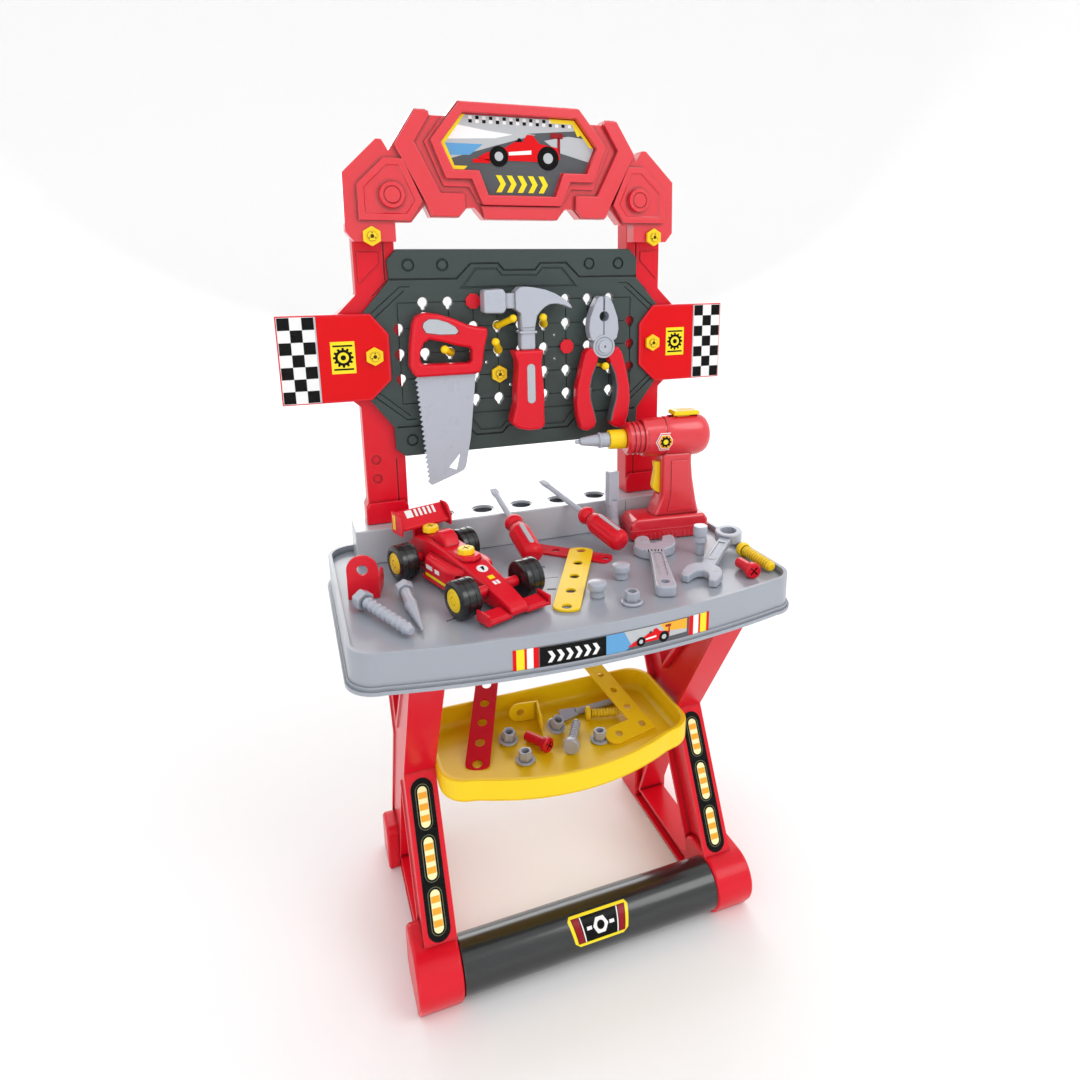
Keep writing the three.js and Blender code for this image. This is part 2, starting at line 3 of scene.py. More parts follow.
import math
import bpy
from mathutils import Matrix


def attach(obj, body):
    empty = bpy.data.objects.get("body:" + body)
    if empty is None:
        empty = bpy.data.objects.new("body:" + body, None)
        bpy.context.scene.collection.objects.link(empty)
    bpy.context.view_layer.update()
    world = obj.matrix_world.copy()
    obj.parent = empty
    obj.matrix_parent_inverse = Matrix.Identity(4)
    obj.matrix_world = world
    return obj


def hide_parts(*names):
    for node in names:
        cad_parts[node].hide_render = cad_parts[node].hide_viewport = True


bl_info = {
    "name": "Toy Workbench",
    "version": (1, 0, 0),
    "blender": (4, 5, 0),
    "location": "3D View > Sidebar > Workbench",
    "description": "Models a toy workbench piece by piece around its packed frame",
    "category": "Add Mesh",
}

import bmesh
import bpy
from bpy.props import FloatProperty, FloatVectorProperty, IntProperty, PointerProperty
from mathutils import Matrix, Vector

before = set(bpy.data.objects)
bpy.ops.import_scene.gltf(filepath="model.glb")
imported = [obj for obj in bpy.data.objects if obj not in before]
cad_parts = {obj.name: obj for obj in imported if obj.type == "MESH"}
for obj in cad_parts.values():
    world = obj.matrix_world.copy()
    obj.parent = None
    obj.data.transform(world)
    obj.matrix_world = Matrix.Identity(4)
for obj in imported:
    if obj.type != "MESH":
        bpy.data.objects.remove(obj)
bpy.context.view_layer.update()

# Shapes are drawn in millimetres with the posts' front on y = 0, then placed in the frame.
TABLE_FLOOR, TABLE_RIM, TABLE_LOW = 440.0, 448.0, 405.0
SHELF_TOP, SHELF_STEP, SHELF_HOLE_Y = 484.0, 53.0, 8.0
FRAME_IN, FRAME_OUT, FOOT_OUT = 158.5, 195.0, 209.0
TUBE_R, TUBE_Y, TUBE_Z = 31.0, -235.0, 34.0
BOARD_FRONT = -8.0
PITCH, ROW_Z = 30.0, 694.0
TOOL_Y, HAMMER_Y = -22.0, -26.0
BACK_SHIFT = 123.0
TO_FRAME = Matrix.Scale(0.001, 4) @ Matrix.Translation((0.0, BACK_SHIFT, 0.0))


# ---- user settings -----------------------------------------------------------
def colour_setting(name, description, value):
    return FloatVectorProperty(
        name=name, description=description, default=value, subtype="COLOR", min=0.0, max=1.0
    )


class WorkbenchColours(bpy.types.PropertyGroup):
    red: colour_setting("Red", "Frame, grips, drill and car", (0.70, 0.004, 0.018))
    yellow: colour_setting("Yellow", "Lower tray, nuts and hooks", (0.95, 0.64, 0.004))
    grey: colour_setting("Grey", "Worktop", (0.33, 0.355, 0.405))
    tool: colour_setting("Tool grey", "Tool heads and loose fasteners", (0.43, 0.46, 0.53))
    pale: colour_setting("Pale grey", "Rear shelf and insets", (0.46, 0.49, 0.53))
    dark: colour_setting("Board", "Pegboard", (0.040, 0.058, 0.055))
    black: colour_setting("Black", "Front tube and tyres", (0.010, 0.012, 0.013))
    soft_grey: colour_setting("Grip grey", "Soft inner edges of the pliers", (0.09, 0.095, 0.105))


class WorkbenchSizes(bpy.types.PropertyGroup):
    saw_teeth: IntProperty(name="Saw teeth", description="Teeth along the blade", default=22, min=8)
    thread_turns: IntProperty(
        name="Thread turns", description="Turns on each long bolt", default=9, min=2
    )
    grain: FloatProperty(
        name="Moulding grain", description="Depth of the plastic's fine texture", default=0.10,
        min=0.0, max=1.0, subtype="FACTOR",
    )


def colours():
    return bpy.context.scene.workbench_colours


def sizes():
    return bpy.context.scene.workbench_sizes


# ---- finishes ----------------------------------------------------------------
def new_group(name, inputs, outputs):
    group = bpy.data.node_groups.new(name, "ShaderNodeTree")
    for direction, sockets in (("INPUT", inputs), ("OUTPUT", outputs)):
        for socket, kind, value in sockets:
            made = group.interface.new_socket(
                name=socket, in_out=direction, socket_type=f"NodeSocket{kind}"
            )
            if value is not None:
                made.default_value = value
    return group, group.nodes.new("NodeGroupInput"), group.nodes.new("NodeGroupOutput")


def math_node(group, kind, first, second, clamp=False):
    node = group.nodes.new("ShaderNodeMath")
    node.operation, node.use_clamp = kind, clamp
    for socket, value in zip(node.inputs, (first, second)):
        if isinstance(value, (int, float)):
            socket.default_value = value
        else:
            group.links.new(value, socket)
    return node.outputs[0]


def noise_node(group, coords, scale, detail, rough=0.5):
    node = group.nodes.new("ShaderNodeTexNoise")
    node.inputs["Detail"].default_value = detail
    node.inputs["Roughness"].default_value = rough
    if isinstance(scale, (int, float)):
        node.inputs["Scale"].default_value = scale
    else:
        group.links.new(scale, node.inputs["Scale"])
    group.links.new(coords, node.inputs["Vector"])
    return node.outputs["Fac"]


NOOK_REACH = 0.0045  # how far from a wall the painted corner shade reaches, in metres
EDGE_ROUND = 0.0016  # width of the painted highlight along an edge, in metres


def moulded_skin():
    """Colour drift, handling marks, grain, painted edge highlight and corner shade of moulded plastic.
    """
    found = bpy.data.node_groups.get("Moulded skin")
    if found:
        return found
    group, given, out = new_group(
        "Moulded skin",
        [("Colour", "Color", (1, 1, 1, 1)), ("Drift", "Float", 0.06), ("Roughness", "Float", 0.35),
         ("Marks", "Float", 0.08), ("Grain scale", "Float", 900.0), ("Grain", "Float", 0.2),
         ("Edge", "Float", 0.2), ("Cavity shade", "Float", 0.6)],
        [("Colour", "Color", None), ("Roughness", "Float", None), ("Height", "Float", None)],
    )
    link = group.links.new
    coords = group.nodes.new("ShaderNodeTexCoord").outputs["Object"]
    broad = noise_node(group, coords, 7.0, 3.0)
    cloudy = noise_node(group, coords, 55.0, 4.0, 0.6)
    fine = noise_node(group, coords, given.outputs["Grain scale"], 2.0)
    wave = noise_node(group, coords, 26.0, 1.0)
    shade = math_node(group, "SUBTRACT", math_node(group, "ADD", broad, cloudy), 1.0)
    shade = math_node(group, "MULTIPLY", shade, given.outputs["Drift"])
    # Painted shade: corners, grooves and recesses are darkened by how closed in they are (ambient
    # occlusion).
    nook = group.nodes.new("ShaderNodeAmbientOcclusion")
    nook.samples = 4
    nook.only_local = True
    nook.inputs["Distance"].default_value = NOOK_REACH
    exposed = math_node(group, "POWER", nook.outputs["AO"], 1.5)
    painted_shade = math_node(group, "MULTIPLY", math_node(group, "SUBTRACT", 1.0, exposed),
                       given.outputs["Cavity shade"])
    shade = math_node(group, "SUBTRACT", math_node(group, "ADD", shade, 1.0), painted_shade, clamp=True)
    hue = group.nodes.new("ShaderNodeHueSaturation")
    link(shade, hue.inputs["Value"])
    link(given.outputs["Colour"], hue.inputs["Color"])
    # Painted highlight: outer edges are lightened, less so where they sit in corners.
    bevel = group.nodes.new("ShaderNodeBevel")
    bevel.samples = 4
    bevel.inputs["Radius"].default_value = EDGE_ROUND
    surface = group.nodes.new("ShaderNodeNewGeometry").outputs["Normal"]
    dot = group.nodes.new("ShaderNodeVectorMath")
    dot.operation = "DOT_PRODUCT"
    link(bevel.outputs[0], dot.inputs[0])
    link(surface, dot.inputs[1])
    edge = math_node(group, "SUBTRACT", 1.0, dot.outputs["Value"])
    edge = math_node(group, "MULTIPLY", edge, 5.0, clamp=True)
    edge = math_node(group, "MULTIPLY", edge, math_node(group, "MULTIPLY", exposed,
                                                        given.outputs["Edge"]))
    edge_highlight = group.nodes.new("ShaderNodeMix")
    edge_highlight.data_type = "RGBA"
    link(edge, edge_highlight.inputs["Factor"])
    link(hue.outputs[0], edge_highlight.inputs["A"])
    highlight_tone = group.nodes.new("ShaderNodeHueSaturation")
    highlight_tone.inputs["Value"].default_value = 1.5
    highlight_tone.inputs["Saturation"].default_value = 0.85
    link(hue.outputs[0], highlight_tone.inputs["Color"])
    link(highlight_tone.outputs[0], edge_highlight.inputs["B"])
    link(edge_highlight.outputs["Result"], out.inputs["Colour"])
    marks = math_node(group, "SUBTRACT", cloudy, 0.5)
    marks = math_node(group, "MULTIPLY", marks, given.outputs["Marks"])
    link(math_node(group, "ADD", given.outputs["Roughness"], marks, clamp=True),
         out.inputs["Roughness"])
    height = math_node(group, "MULTIPLY", fine, given.outputs["Grain"])
    height = math_node(group, "ADD", height, math_node(group, "MULTIPLY", wave, 0.12))
    link(height, out.inputs["Height"])
    return group


# name: (setting or colour, roughness, coat, drift, grain scale, grain, painted edge highlight, record
# slot)
FINISHES = {
    "red": ("red", 0.32, 0.12, 0.027, 850, 0.5, 0.30, "red_plastic"),
    "red_bright": ("red", 0.36, 0.55, 0.027, 850, 0.5, 0.30, "red_plastic"),
    "red_soft": ("red", 0.42, 0.10, 0.0315, 1400, 1.4, 0.25, "red_plastic"),
    "yellow": ("yellow", 0.36, 0.10, 0.0225, 850, 0.5, 0.30, "yellow_plastic"),
    "grey": ("grey", 0.33, 0.20, 0.0225, 1100, 0.9, 0.35, "grey_plastic"),
    "tool_grey": ("tool", 0.28, 0.25, 0.0225, 700, 0.5, 0.35, "grey_plastic"),
    "pale": ("pale", 0.26, 0.25, 0.018, 900, 0.6, 0.30, "pale_grey_plastic"),
    "board": ("dark", 0.46, 0.0, 0.045, 1600, 1.6, 0.55, "dark_board_plastic"),
    "black": ("black", 0.22, 0.30, 0.045, 700, 0.4, 0.6, "black_plastic"),
    "tyre": ("black", 0.24, 0.30, 0.045, 1300, 0.6, 0.4, "black_plastic"),
    "grip_edge": ("soft_grey", 0.5, 0.0, 0.045, 1500, 1.5, 0.4, "black_plastic"),
    "print_red": ((0.70, 0.0005, 0.004), 0.34, 0.0, 0.009, 500, 0.2, 0.0, "red_plastic"),
    "print_deep": ((0.28, 0.004, 0.010), 0.30, 0.08, 0.009, 500, 0.2, 0.0, "red_plastic"),
    "print_yellow": ((0.95, 0.74, 0.004), 0.30, 0.08, 0.009, 500, 0.2, 0.0, "yellow_plastic"),
    "print_orange": ((0.90, 0.40, 0.012), 0.30, 0.08, 0.009, 500, 0.2, 0.0, "yellow_plastic"),
    "print_white": ((0.86, 0.86, 0.86), 0.30, 0.08, 0.009, 500, 0.2, 0.0, "pale_grey_plastic"),
    "print_silver": ((0.47, 0.49, 0.51), 0.30, 0.08, 0.0225, 500, 0.2, 0.0, "pale_grey_plastic"),
    "print_blue": ((0.10, 0.33, 0.62), 0.30, 0.08, 0.0225, 500, 0.2, 0.0, "pale_grey_plastic"),
    "print_slate": ((0.085, 0.09, 0.10), 0.30, 0.08, 0.054, 500, 0.2, 0.0, "black_plastic"),
    "print_black": ((0.003, 0.003, 0.003), 0.28, 0.05, 0.009, 500, 0.2, 0.0, "black_plastic"),
    "lamp_glow": ((0.98, 0.91, 0.47), 0.2, 0.5, 0.009, 500, 0.2, 0.0, "yellow_plastic"),
    "lamp_line": ((0.13, 0.14, 0.06), 0.25, 0.4, 0.009, 500, 0.2, 0.0, "yellow_plastic"),
}

# How strongly a finish reflects, where it is not the usual amount.
USUAL_SHEEN = 0.42
SHEEN = {"red": 0.25, "red_bright": 0.70, "red_soft": 0.30, "print_red": 0.18, "print_deep": 0.2,
         "print_black": 0.1, "print_slate": 0.25, "yellow": 0.30, "board": 0.35, "black": 0.6}


def finish(name):
    """The plastic or printed material of that name, made once."""
    found = bpy.data.materials.get(name)
    if found:
        return found
    tone, rough, coat, drift, scale, grain, edge, _slot = FINISHES[name]
    if isinstance(tone, str):
        tone = getattr(colours(), tone)
    made = bpy.data.materials.new(name)
    made.use_nodes = True
    made.diffuse_color = (*tone, 1.0)
    nodes, links = made.node_tree.nodes, made.node_tree.links
    shader = nodes["Principled BSDF"]
    shader.inputs["Coat Weight"].default_value = coat
    shader.inputs["Coat Roughness"].default_value = 0.12
    shader.inputs["Specular IOR Level"].default_value = SHEEN.get(name, USUAL_SHEEN)
    skin = nodes.new("ShaderNodeGroup")
    skin.node_tree = moulded_skin()
    # Printed sheets get no painted shade in their corners; moulded pieces do.
    printed = edge == 0.0
    for socket, value in (("Colour", (*tone, 1.0)), ("Drift", drift), ("Roughness", rough),
                          ("Marks", 0.06), ("Grain scale", scale),
                          ("Grain", grain * sizes().grain), ("Edge", edge),
                          ("Cavity shade", 0.0 if printed else 0.85)):
        skin.inputs[socket].default_value = value
    bump = nodes.new("ShaderNodeBump")
    bump.inputs["Strength"].default_value = 0.35
    bump.inputs["Distance"].default_value = 0.0006
    links.new(skin.outputs["Colour"], shader.inputs["Base Color"])
    links.new(skin.outputs["Roughness"], shader.inputs["Roughness"])
    links.new(skin.outputs["Height"], bump.inputs["Height"])
    links.new(bump.outputs[0], shader.inputs["Normal"])
    return made


# ---- shaping -----------------------------------------------------------------
AXIS = {"x": 0, "y": 1, "z": 2}
SHARP_FROM = 32.0  # degrees between two faces whose shared edge stays crisp


def sharp_edges(shape, limit=35.0, where=None):
    angle = math.radians(limit)
    return [
        e for e in shape.edges
        if len(e.link_faces) == 2 and e.calc_face_angle() > angle and (where is None or where(e))
    ]


def soften(shape, width, steps=3, limit=35.0, where=None):
    """Rounds the edges that are sharper than the limit."""
    bmesh.ops.bevel(
        shape, geom=sharp_edges(shape, limit, where), offset=width, offset_type="OFFSET",
        segments=steps, profile=0.5, affect="EDGES", material=-1, clamp_overlap=True,
    )
    return shape


def plate(points, low, high, axis="y", soft=0.0, steps=3):
    """An outline given thickness along one axis."""
    shape = bmesh.new()
    at = {"x": lambda u, v: (low, u, v), "y": lambda u, v: (u, low, v),
          "z": lambda u, v: (u, v, low)}[axis]
    face = shape.faces.new([shape.verts.new(at(u, v)) for u, v in points])
    grown = bmesh.ops.extrude_face_region(shape, geom=[face])["geom"]
    step = Vector((0.0, 0.0, 0.0))
    step[AXIS[axis]] = high - low
    bmesh.ops.translate(
        shape, vec=step, verts=[g for g in grown if isinstance(g, bmesh.types.BMVert)]
    )
    bmesh.ops.recalc_face_normals(shape, faces=shape.faces)
    return soften(shape, soft, steps) if soft else shape


def block(x0, x1, y0, y1, z0, z1, soft=0.0):
    shape = bmesh.new()
    bmesh.ops.create_cube(shape, size=1.0)
    bmesh.ops.scale(shape, vec=(x1 - x0, y1 - y0, z1 - z0), verts=shape.verts)
    centre = ((x0 + x1) / 2, (y0 + y1) / 2, (z0 + z1) / 2)
    bmesh.ops.translate(shape, vec=centre, verts=shape.verts)
    return soften(shape, soft) if soft else shape


def aim(start, end):
    """The transform that carries the z axis onto the line from start to end."""
    start, end = Vector(start), Vector(end)
    return Matrix.Translation(start) @ (end - start).to_track_quat("Z", "Y").to_matrix().to_4x4()


def rod(start, end, r0, r1=None, sides=40, soft=0.0):
    shape = bmesh.new()
    length = (Vector(end) - Vector(start)).length
    bmesh.ops.create_cone(
        shape, cap_ends=True, cap_tris=False, segments=sides, radius1=r0,
        radius2=r0 if r1 is None else r1, depth=length,
        matrix=aim(start, end) @ Matrix.Translation((0, 0, length / 2)),
    )
    return soften(shape, soft) if soft else shape


def turned(profile, start=(0, 0, 0), end=(0, 0, 1), steps=40):
    """A profile of (radius, height) spun about the line from start to end."""
    shape = bmesh.new()
    verts = [shape.verts.new((r, 0.0, h)) for r, h in profile]
    edges = [shape.edges.new(pair) for pair in zip(verts, verts[1:])]
    bmesh.ops.spin(
        shape, geom=verts + edges, cent=(0, 0, 0), axis=(0, 0, 1), dvec=(0, 0, 0),
        angle=math.tau, steps=steps, use_merge=True, use_duplicate=False,
    )
    bmesh.ops.remove_doubles(shape, verts=shape.verts, dist=1e-4)
    bmesh.ops.recalc_face_normals(shape, faces=shape.faces)
    bmesh.ops.transform(shape, matrix=aim(start, end), verts=shape.verts)
    return shape


def ball(centre, radius, segments=24):
    shape = bmesh.new()
    bmesh.ops.create_uvsphere(
        shape, u_segments=segments, v_segments=segments // 2, radius=radius,
        matrix=Matrix.Translation(centre),
    )
    return shape


def gather(*shapes):
    """Several shapes as one, side by side."""
    whole = bmesh.new()
    for shape in shapes:
        mesh = bpy.data.meshes.new("part")
        shape.to_mesh(mesh)
        whole.from_mesh(mesh)
        bpy.data.meshes.remove(mesh)
        shape.free()
    return whole


def fuse(base, add=(), cut=()):
    """The base with some shapes joined to it and others cut from it."""
    def stand(shape):
        mesh = bpy.data.meshes.new("part")
        shape.to_mesh(mesh)
        shape.free()
        thing = bpy.data.objects.new("part", mesh)
        bpy.context.scene.collection.objects.link(thing)
        return thing

    things = [stand(base)]
    for mode, shapes in (("UNION", add), ("DIFFERENCE", cut)):
        for shape in shapes:
            things.append(stand(shape))
            change = things[0].modifiers.new(mode, "BOOLEAN")
            change.operation, change.solver, change.object = mode, "EXACT", things[-1]
    deps = bpy.context.evaluated_depsgraph_get()
    mesh = bpy.data.meshes.new_from_object(things[0].evaluated_get(deps))
    result = bmesh.new()
    result.from_mesh(mesh)
    bpy.data.meshes.remove(mesh)
    for thing in things:
        old = thing.data
        bpy.data.objects.remove(thing)
        bpy.data.meshes.remove(old)
    bmesh.ops.remove_doubles(result, verts=result.verts, dist=1e-4)
    bmesh.ops.dissolve_degenerate(result, edges=result.edges, dist=1e-4)
    return result


def faces_towards(shape, axis, sign, reach=None):
    """The faces that look along an axis, all of them or those at one place along it."""
    k = AXIS[axis]
    return [
        f for f in shape.faces
        if f.normal[k] * sign > 0.99
        and (reach is None or abs(f.calc_center_median()[k] - reach) < 0.2)
    ]


def sink(shape, faces, border, depth, wall=0.8):
    """Recesses a flat area, leaving a border round it."""
    for thickness, deep in ((border, 0.0), (wall, -depth)):
        bmesh.ops.inset_region(
            shape, faces=faces, thickness=thickness, depth=deep, use_even_offset=True,
            use_boundary=True,
        )
    return shape


def mirrored(shape):
    bmesh.ops.scale(shape, vec=(-1, 1, 1), verts=shape.verts)
    bmesh.ops.reverse_faces(shape, faces=shape.faces)
    return shape


def moved(shape, matrix):
    bmesh.ops.transform(shape, matrix=matrix, verts=shape.verts)
    return shape


def slice_up(shape, axis, start, end, gap):
    """Adds cuts across an axis, so that a flat piece can be bent."""
    normal = [0, 0, 0]
    normal[AXIS[axis]] = 1
    for i in range(int((end - start) / gap) + 1):
        point = [0, 0, 0]
        point[AXIS[axis]] = start + i * gap
        geom = list(shape.verts) + list(shape.edges) + list(shape.faces)
        bmesh.ops.bisect_plane(shape, geom=geom, plane_co=point, plane_no=normal, dist=1e-4)
    return shape


def bent(shape, place):
    """Moves each corner to where place says it goes."""
    for v in shape.verts:
        v.co = place(v.co)
    return shape


def stroke(points, width):
    """The outline of a line along the points, with mitred corners."""
    left, right = [], []
    last = len(points) - 1
    for k, (u, v) in enumerate(points):
        here = Vector((u, v))
        before = here - Vector(points[k - 1]) if k else Vector(points[1]) - here
        after = Vector(points[k + 1]) - here if k < last else before
        a, b = before.normalized(), after.normalized()
        across = Vector((-a.y - b.y, a.x + b.x)).normalized()
        reach = width / 2 / max(0.4, across.dot(Vector((-a.y, a.x))))
        left.append(tuple(here + across * reach))
        right.append(tuple(here - across * reach))
    return left + right[::-1]


def full(half):
    """A half outline, from the middle outwards, with its mirror image."""
    return list(half) + [(-u, v) for u, v in reversed(half) if u]


def flip(points):
    return [(-u, v) for u, v in reversed(points)]


def arc(cx, cy, r, start, end, steps):
    return [
        (cx + r * math.cos(math.radians(start + (end - start) * i / steps)),
         cy + r * math.sin(math.radians(start + (end - start) * i / steps)))
        for i in range(steps + 1)
    ]


def disc(u, v, r, corners=20):
    """A regular outline, near enough a circle when it has many corners."""
    return arc(u, v, r, 0, 360 - 360 / corners, corners - 1)


def chevron(u, low, high, thick, point):
    """An arrow head that starts at u and points along +u."""
    middle = (low + high) / 2
    return [(u, low), (u + thick, low), (u + thick + point, middle), (u + thick, high), (u, high),
            (u + point, middle)]


def slot_outline(u0, v0, u1, v1, r, steps=8):
    """A slot with round ends."""
    turn = math.degrees(math.atan2(v1 - v0, u1 - u0))
    return arc(u0, v0, r, turn + 90, turn + 270, steps) + arc(u1, v1, r, turn - 90, turn + 90, steps)


def piece(name, shape, look, body="bench", nodes=(), at=None):
    """Turns a shape into a finished piece that rides on a body."""
    bmesh.ops.transform(
        shape, matrix=TO_FRAME @ (at or Matrix.Identity(4)), verts=shape.verts
    )
    bmesh.ops.remove_doubles(shape, verts=shape.verts, dist=2e-6)
    mesh = bpy.data.meshes.new(name)
    shape.to_mesh(mesh)
    shape.free()
    mesh.shade_smooth()
    mesh.set_sharp_from_angle(angle=math.radians(SHARP_FROM))
    mesh.materials.append(finish(look))
    thing = bpy.data.objects.new(name, mesh)
    bpy.context.scene.collection.objects.link(thing)
    weighted = thing.modifiers.new("even shading", "WEIGHTED_NORMAL")
    weighted.keep_sharp = True
    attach(thing, body)
    if nodes:
        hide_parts(*nodes)
    return thing


def layers(name, stack, place, body="bench", at=None, lift=0.22, gap=2.5, bend=None):
    """Printed sheet: thin shapes of one look each, every layer a little proud of the last."""
    for look in dict.fromkeys(look for look, _points, _level in stack):
        sheets = []
        for other, points, level in stack:
            if other != look:
                continue
            sheet = plate(points, level * lift, level * lift + lift + 0.02, "z")
            if bend:
                low = min(p[AXIS[bend]] for p in points)
                high = max(p[AXIS[bend]] for p in points)
                slice_up(sheet, bend, math.ceil(low / gap) * gap, high, gap)
            sheets.append(bent(sheet, place))
        whole = gather(*sheets)
        bmesh.ops.recalc_face_normals(whole, faces=whole.faces)
        piece(f"{name}_{look}", whole, look, body, at=at)


def rect(u0, u1, v0, v1):
    return [(u0, v0), (u1, v0), (u1, v1), (u0, v1)]


# ---- side frames and tube ----------------------------------------------------
LEGS = [
    (-242, 435), (-242, 394), (-146, 228), (-240, 50), (-240, 4), (22, 4), (22, 60), (-62, 232),
    (20, 388), (20, 435),
]
LOW_GAP = [(-192, 31), (-45, 31), (-106, 180)]
TOP_GAP = [(-196, 390), (-104, 272), (-28, 390)]
REAR_FOOT = [(-30, 0), (24, 0), (24, 50), (10, 62), (-24, 62), (-30, 54)]
LEG_FACE = ((-146.0, 228.0), (-240.0, 50.0))  # top and bottom of the lamp strip's face, y and z
LAMP_MIDDLE, LAMP_PITCH = 7.0, 55.0  # along the face, from its middle
UNDER_FOOT = 14.0  # length of the face that the foot block covers


def side_frame():
    shape = fuse(
        plate(LEGS, FRAME_IN, FRAME_OUT, "x"),
        cut=[plate(LOW_GAP, 150, 205, "x"), plate(TOP_GAP, 150, 205, "x")],
    )
    sink(shape, faces_towards(shape, "x", 1), 5.0, 2.2)
    sink(shape, faces_towards(shape, "x", -1, FRAME_IN), 4.5, 9.0)
    soften(shape, 1.6, 3, limit=50)
    front = (
        [(-252, 0), (-195, 0), (-181, 7), (-178, 20), (-178, 46)]
        + arc(-196, 48, 18, 0, 85, 5)
        + arc(TUBE_Y + 2, TUBE_Z - 1, 34, 88, 215, 14)
    )
    feet = [
        plate(REAR_FOOT, FRAME_IN + 0.1, FOOT_OUT, "x", 4.0, 4),
        plate(front, FRAME_IN + 0.1, FOOT_OUT, "x", 4.0, 4),
    ]
    return fuse(shape, add=feet)


def lamp_strip(side):
    (y_top, z_top), (y_low, z_low) = LEG_FACE
    length = math.hypot(y_top - y_low, z_top - z_low)
    up = Vector((0, (y_top - y_low) / length, (z_top - z_low) / length))
    out = Vector((1, 0, 0)).cross(up)
    centre = Vector((side * 177, (y_top + y_low) / 2, (z_top + z_low) / 2)) + out * 0.15
    reach, half = length / 2 - 7, 12.8
    low, high = half - reach + UNDER_FOOT, reach - half
    stack = [("print_black", slot_outline(0, low, 0, high, half, 12), 0)]
    for lamp in (-1, 0, 1):
        middle = LAMP_MIDDLE + lamp * LAMP_PITCH
        for look, r, level in (("lamp_line", 8.2, 1), ("print_black", 7.4, 2),
                               ("lamp_glow", 5.4, 3)):
            stack.append((look, slot_outline(0, middle - 17, 0, middle + 17, r, 8), level))
        for k in (-1, 0, 1):
            v = middle + k * 12.4
            stack.append(("print_orange", rect(-4.9, 4.9, v - 3.4, v + 3.4), 4))
    return stack, lambda p: centre + Vector((p.x, 0, 0)) + up * p.y + out * p.z


class MakeSideFrames(bpy.types.Operator):
    """Crossed legs with a floor rail, foot blocks and printed lamp strips, left and right"""

    bl_idname = "workbench.side_frames"
    bl_label = "Side frames"

    def execute(self, _context):
        piece("frame_right", side_frame(), "red", nodes=["side_frame_right"])
        piece("frame_left", mirrored(side_frame()), "red", nodes=["side_frame_left"])
        for label, side in (("left", -1), ("right", 1)):
            stack, place = lamp_strip(side)
            layers(f"lamp_strip_{label}", stack, place)
        return {"FINISHED"}


class MakeTube(bpy.types.Operator):
    """Black tube between the front feet, with a printed badge"""

    bl_idname = "workbench.front_tube"
    bl_label = "Front tube"

    def execute(self, _context):
        ends = [(x, TUBE_Y, TUBE_Z) for x in (-FRAME_IN + 0.3, FRAME_IN - 0.3)]
        piece("tube_front", rod(*ends, TUBE_R, sides=96, soft=1.2), "black", nodes=["front_tube"])
        tilt = math.radians(36)

        def wrapped(p):
            turn = tilt + p.y / TUBE_R
            r = TUBE_R + 0.08 + p.z
            return Vector((p.x + 3, TUBE_Y - r * math.cos(turn), TUBE_Z + r * math.sin(turn)))

        plate_outline = full([(0, 17), (35, 17), (38, 12), (33, -12), (27, -17), (0, -17)])
        stack = [
            ("print_yellow", plate_outline, 0),
            ("print_black", full([(0, 13.5), (34, 13.5), (29, -13.5), (0, -13.5)]), 1),
            ("print_white", disc(0, 0, 9.5, 6), 2), ("print_black", disc(0, 0, 4.6), 3),
        ]
        for s in (-1, 1):
            bar = [(s * 33, 13), (s * 25, 13), (s * 21.5, -13), (s * 28.5, -13)]
            stack.append(("print_deep", bar if s < 0 else bar[::-1], 2))
            line = [(s * 24, 13), (s * 22.6, 13), (s * 19.1, -13), (s * 20.5, -13)]
            stack.append(("print_white", line if s < 0 else line[::-1], 2))
            stack.append(("print_white", rect(*sorted((s * 11, s * 17)), -1.8, 1.8), 2))
        layers("badge_front", stack, wrapped, bend="y", gap=2.0)
        return {"FINISHED"}


# ---- worktop, shelf and lower tray -------------------------------------------
TABLE_HALF, TABLE_BACK, TABLE_FRONT, TABLE_BULGE = 250.0, 38.0, -259.0, 25.0
FRONT_HALF = TABLE_HALF - 30.0


def table_outline(grow):
    half, back, front, r = TABLE_HALF + grow, TABLE_BACK + grow, TABLE_FRONT - grow, 30 + grow
    bow = [
        (t / 16 * (half - r), front - TABLE_BULGE * (1 - (t / 16) ** 2)) for t in range(-15, 16)
    ]
    return (
        arc(half - r, back - r, r, 0, 90, 10) + arc(-half + r, back - r, r, 90, 180, 10)
        + arc(-half + r, front + r, r, 180, 270, 10) + bow
        + arc(half - r, front + r, r, 270, 360, 10)
    )


def skirt_front(x):
    return TABLE_FRONT - TABLE_BULGE * (1 - (x / FRONT_HALF) ** 2)


def race_car(u, v, s):
    """A plain open-wheeled car seen from the side, nose towards -u."""
    def at(points):
        return [(u + s * a, v + s * b) for a, b in points]

    body = [(-30, -7), (-24, -3.5), (-10, 0.5), (-4, 4), (2, 4.4), (5, 9), (9, 9), (14, 3.6),
            (27, 1.5), (29, -6), (20, -8), (-14, -8), (-22, -8.4)]
    stack = [
        ("print_deep", at(rect(22, 31, 7.5, 11)), 2), ("print_deep", at(rect(27, 29, -2, 8)), 2),
        ("print_red", at(body), 3), ("print_red", at(rect(-33, -21, -10, -7.6)), 3),
        ("print_white", at([(-8, -2.5), (8, -0.8), (8, -3.4), (-8, -4.6)]), 4),
        ("print_black", at([(-3, 4.0), (1.5, 4.4), (0.5, 6.6), (-1, 6.6)]), 4),
    ]
    for x, r in ((-15, 6.6), (20, 7.8)):
        stack += [("print_black", at(disc(x, -5.5, r, 24)), 4),
                  ("print_silver", at(disc(x, -5.5, r * 0.45, 18)), 5)]
    return stack


